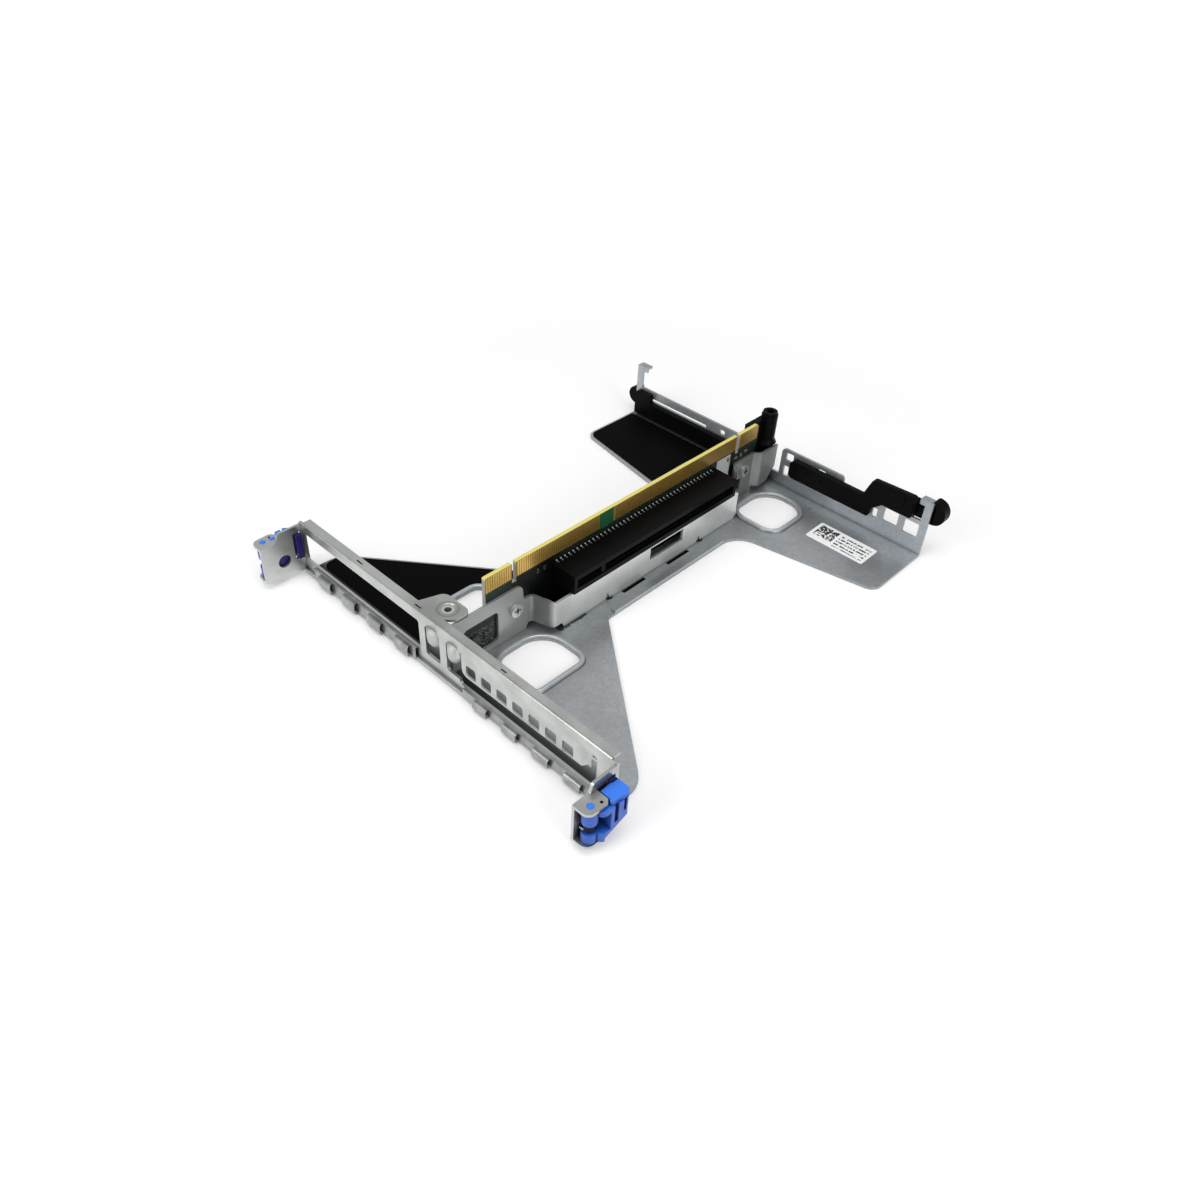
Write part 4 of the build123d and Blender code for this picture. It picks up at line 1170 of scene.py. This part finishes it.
class RISER_OT_slot_shade(bpy.types.Operator):
    """Lay black film under the two foot slots as painted shade"""
    bl_idname = "riser.backing"
    bl_label = "Foot slot shade sheet"

    def execute(self, context):
        mesh = bmesh.new()
        # Black sheets where the slots would show the floor: painted shade.
        for across, along in FOOT_SLOTS:
            add_prism(mesh, oblong(across, along, SLOT_SHADE_ROUND, 3), "z", *SLOT_SHADE_Z)
        piece_from("foot_slot_shade_sheet", mesh, "black_film")
        return {"FINISHED"}


CONTACT_DEPTH = (2.6, 6.5)
CONTACT_OFF_MIDDLE = (0.62, 0.90)
CONTACT_ENDS = (3.0, 2.5)


class RISER_OT_contacts(bpy.types.Operator):
    """Add the spring contacts inside both connector slots"""
    bl_idname = "riser.contacts"
    bl_label = "Connector contacts"

    def execute(self, context):
        fittings = context.scene.riser_fittings
        half = fittings.contact_width / 2
        for side, low, high in ((1, RIGHT_LOW, RIGHT_HIGH), (-1, LEFT_LOW, LEFT_HIGH)):
            middle = (low.z + high.z) / 2
            mouth = high.x if side > 0 else low.x
            mesh = bmesh.new()
            x = sorted(mouth - side * depth * MM for depth in CONTACT_DEPTH)
            y = low.y + CONTACT_ENDS[0] * MM
            while y < high.y - CONTACT_ENDS[1] * MM:
                for up in (-1, 1):
                    z = sorted(middle + up * off * MM for off in CONTACT_OFF_MIDDLE)
                    add_block(mesh, (x[0], y - half, z[0]), (x[1], y + half, z[1]))
                y += fittings.contact_pitch
            name = "right_connector_contacts" if side > 0 else "left_connector_contacts"
            piece_from(name, mesh, "gold")
        return {"FINISHED"}


class RISER_OT_stage(bpy.types.Operator):
    """Set the pale floor, the soft lights, the world and the camera"""
    bl_idname = "riser.stage"
    bl_label = "Stage"

    def execute(self, context):
        stage = context.scene.riser_stage
        make_floor()
        make_world(stage)
        make_lights(stage)
        make_camera(stage)
        context.scene.view_settings.view_transform = "Standard"
        return {"FINISHED"}


FLOOR_HALF = 6.0
FLOOR_COLOUR = (0.86, 0.86, 0.86)
FLOOR_GLOW = 0.22
GLOW_SPREAD = (0.18, 0.60)
FLOOR_SHADE_REACH = 4.0


def make_floor():
    mesh = bmesh.new()
    bmesh.ops.create_grid(mesh, x_segments=1, y_segments=1, size=FLOOR_HALF)
    data = bpy.data.meshes.new("floor")
    mesh.to_mesh(data)
    mesh.free()
    floor = bpy.data.objects.new("floor", data)
    floor.location.z = CAD_LOW.z
    bpy.context.scene.collection.objects.link(floor)
    f = Finish("floor")
    far = f.node("ShaderNodeVectorMath", {"operation": "LENGTH"}, {0: f.place}, "Value")
    f.set(Base_Color=FLOOR_COLOUR, Roughness=0.9, Specular_IOR_Level=0.1)
    seen = f.node("ShaderNodeLightPath", output="Is Camera Ray")
    seen = seen + f.node("ShaderNodeLightPath", output="Is Glossy Ray")
    # The glow is cut near the object, as painted shade on the floor.
    strength = (FLOOR_GLOW + far.smooth(*GLOW_SPREAD)) * f.open_air(FLOOR_SHADE_REACH)
    glow = f.node("ShaderNodeEmission", inputs={"Color": (1.0, 1.0, 1.0), "Strength": strength})
    matte = Value(f, f.shader.outputs[0])
    joined = f.node("ShaderNodeAddShader", inputs={0: matte, 1: glow})
    mixed = f.node("ShaderNodeMixShader", inputs={0: seen, 1: matte, 2: joined})
    f.tree.links.new(mixed.socket, f.tree.nodes["Material Output"].inputs["Surface"])
    data.materials.append(f.material)


def make_world(stage):
    world = bpy.data.worlds.new("studio")
    world.use_nodes = True
    bpy.context.scene.world = world
    tree = world.node_tree
    back = tree.nodes["Background"]
    back.inputs["Color"].default_value = (1.0, 1.0, 1.0, 1.0)
    path = tree.nodes.new("ShaderNodeLightPath")
    level = tree.nodes.new("ShaderNodeMapRange")
    level.inputs["To Min"].default_value = stage.world_level
    level.inputs["To Max"].default_value = 1.0
    tree.links.new(path.outputs["Is Camera Ray"], level.inputs["Value"])
    tree.links.new(level.outputs["Result"], back.inputs["Strength"])


BACK_SHARE = 0.19


def make_lights(stage):
    lamps = (
        ("key", (-0.15, -0.75, 0.45), 0.5, stage.key_power),
        ("fill", (0.80, -0.10, 0.42), 0.5, stage.fill_power),
        ("back", (-0.40, 0.57, 0.66), 0.5, stage.fill_power * BACK_SHARE),
        ("top", (0.10, -0.15, 0.95), 0.6, stage.top_power),
    )
    for name, place, size, power in lamps:
        data = bpy.data.lights.new(name, "AREA")
        data.size = size
        data.energy = power
        lamp = bpy.data.objects.new(name, data)
        lamp.location = place
        lamp.rotation_mode = "QUATERNION"
        lamp.rotation_quaternion = (-Vector(place)).to_track_quat("-Z", "Y")
        bpy.context.scene.collection.objects.link(lamp)


def make_camera(stage):
    a, e, roll = stage.azimuth, stage.elevation, stage.roll
    ahead = -Vector((math.cos(a) * math.cos(e), math.sin(a) * math.cos(e), math.sin(e)))
    right = ahead.cross(Vector((0.0, 0.0, 1.0))).normalized()
    down = ahead.cross(right)
    c, s = math.cos(roll), math.sin(roll)
    across = c * right - s * down
    below = s * right + c * down
    offset = Vector(stage.offset)
    place = Vector(stage.aim) - offset.x * across - offset.y * below - offset.z * ahead
    data = bpy.data.cameras.new("camera")
    data.sensor_width = 36.0
    data.lens = stage.lens
    data.clip_start = 0.01
    data.clip_end = 20.0
    camera = bpy.data.objects.new("camera", data)
    turn = Matrix((across, -below, -ahead)).transposed()
    camera.matrix_world = Matrix.Translation(place) @ turn.to_4x4()
    bpy.context.scene.collection.objects.link(camera)
    bpy.context.scene.camera = camera


OPERATORS = (
    RISER_OT_metal,
    RISER_OT_board,
    RISER_OT_mouldings,
    RISER_OT_fingers,
    RISER_OT_tails,
    RISER_OT_latches,
    RISER_OT_rims,
    RISER_OT_springs,
    RISER_OT_cover,
    RISER_OT_domes,
    RISER_OT_holder,
    RISER_OT_slot_shade,
    RISER_OT_contacts,
    RISER_OT_stage,
)


class RISER_PT_panel(bpy.types.Panel):
    """The riser's pieces, in the order that they are made"""
    bl_label = "Server riser"
    bl_idname = "RISER_PT_panel"
    bl_space_type = "VIEW_3D"
    bl_region_type = "UI"
    bl_category = "Riser"

    def draw(self, context):
        for operator in OPERATORS:
            self.layout.operator(operator.bl_idname)
        for group in ("riser_finishes", "riser_fittings", "riser_stage"):
            settings = getattr(context.scene, group)
            for name in settings.bl_rna.properties.keys():
                if name not in ("name", "rna_type"):
                    self.layout.prop(settings, name)


GROUPS = {
    "riser_finishes": RiserFinishes,
    "riser_fittings": RiserFittings,
    "riser_stage": RiserStage,
}


def register():
    for group in GROUPS.values():
        bpy.utils.register_class(group)
    for name, group in GROUPS.items():
        setattr(bpy.types.Scene, name, bpy.props.PointerProperty(type=group))
    for operator in OPERATORS:
        bpy.utils.register_class(operator)
    bpy.utils.register_class(RISER_PT_panel)


def unregister():
    bpy.utils.unregister_class(RISER_PT_panel)
    for operator in reversed(OPERATORS):
        bpy.utils.unregister_class(operator)
    for name, group in GROUPS.items():
        delattr(bpy.types.Scene, name)
        bpy.utils.unregister_class(group)


def main():
    register()
    for operator in OPERATORS:
        section, call = operator.bl_idname.split(".")
        getattr(getattr(bpy.ops, section), call)()


if __name__ == "__main__":
    main()
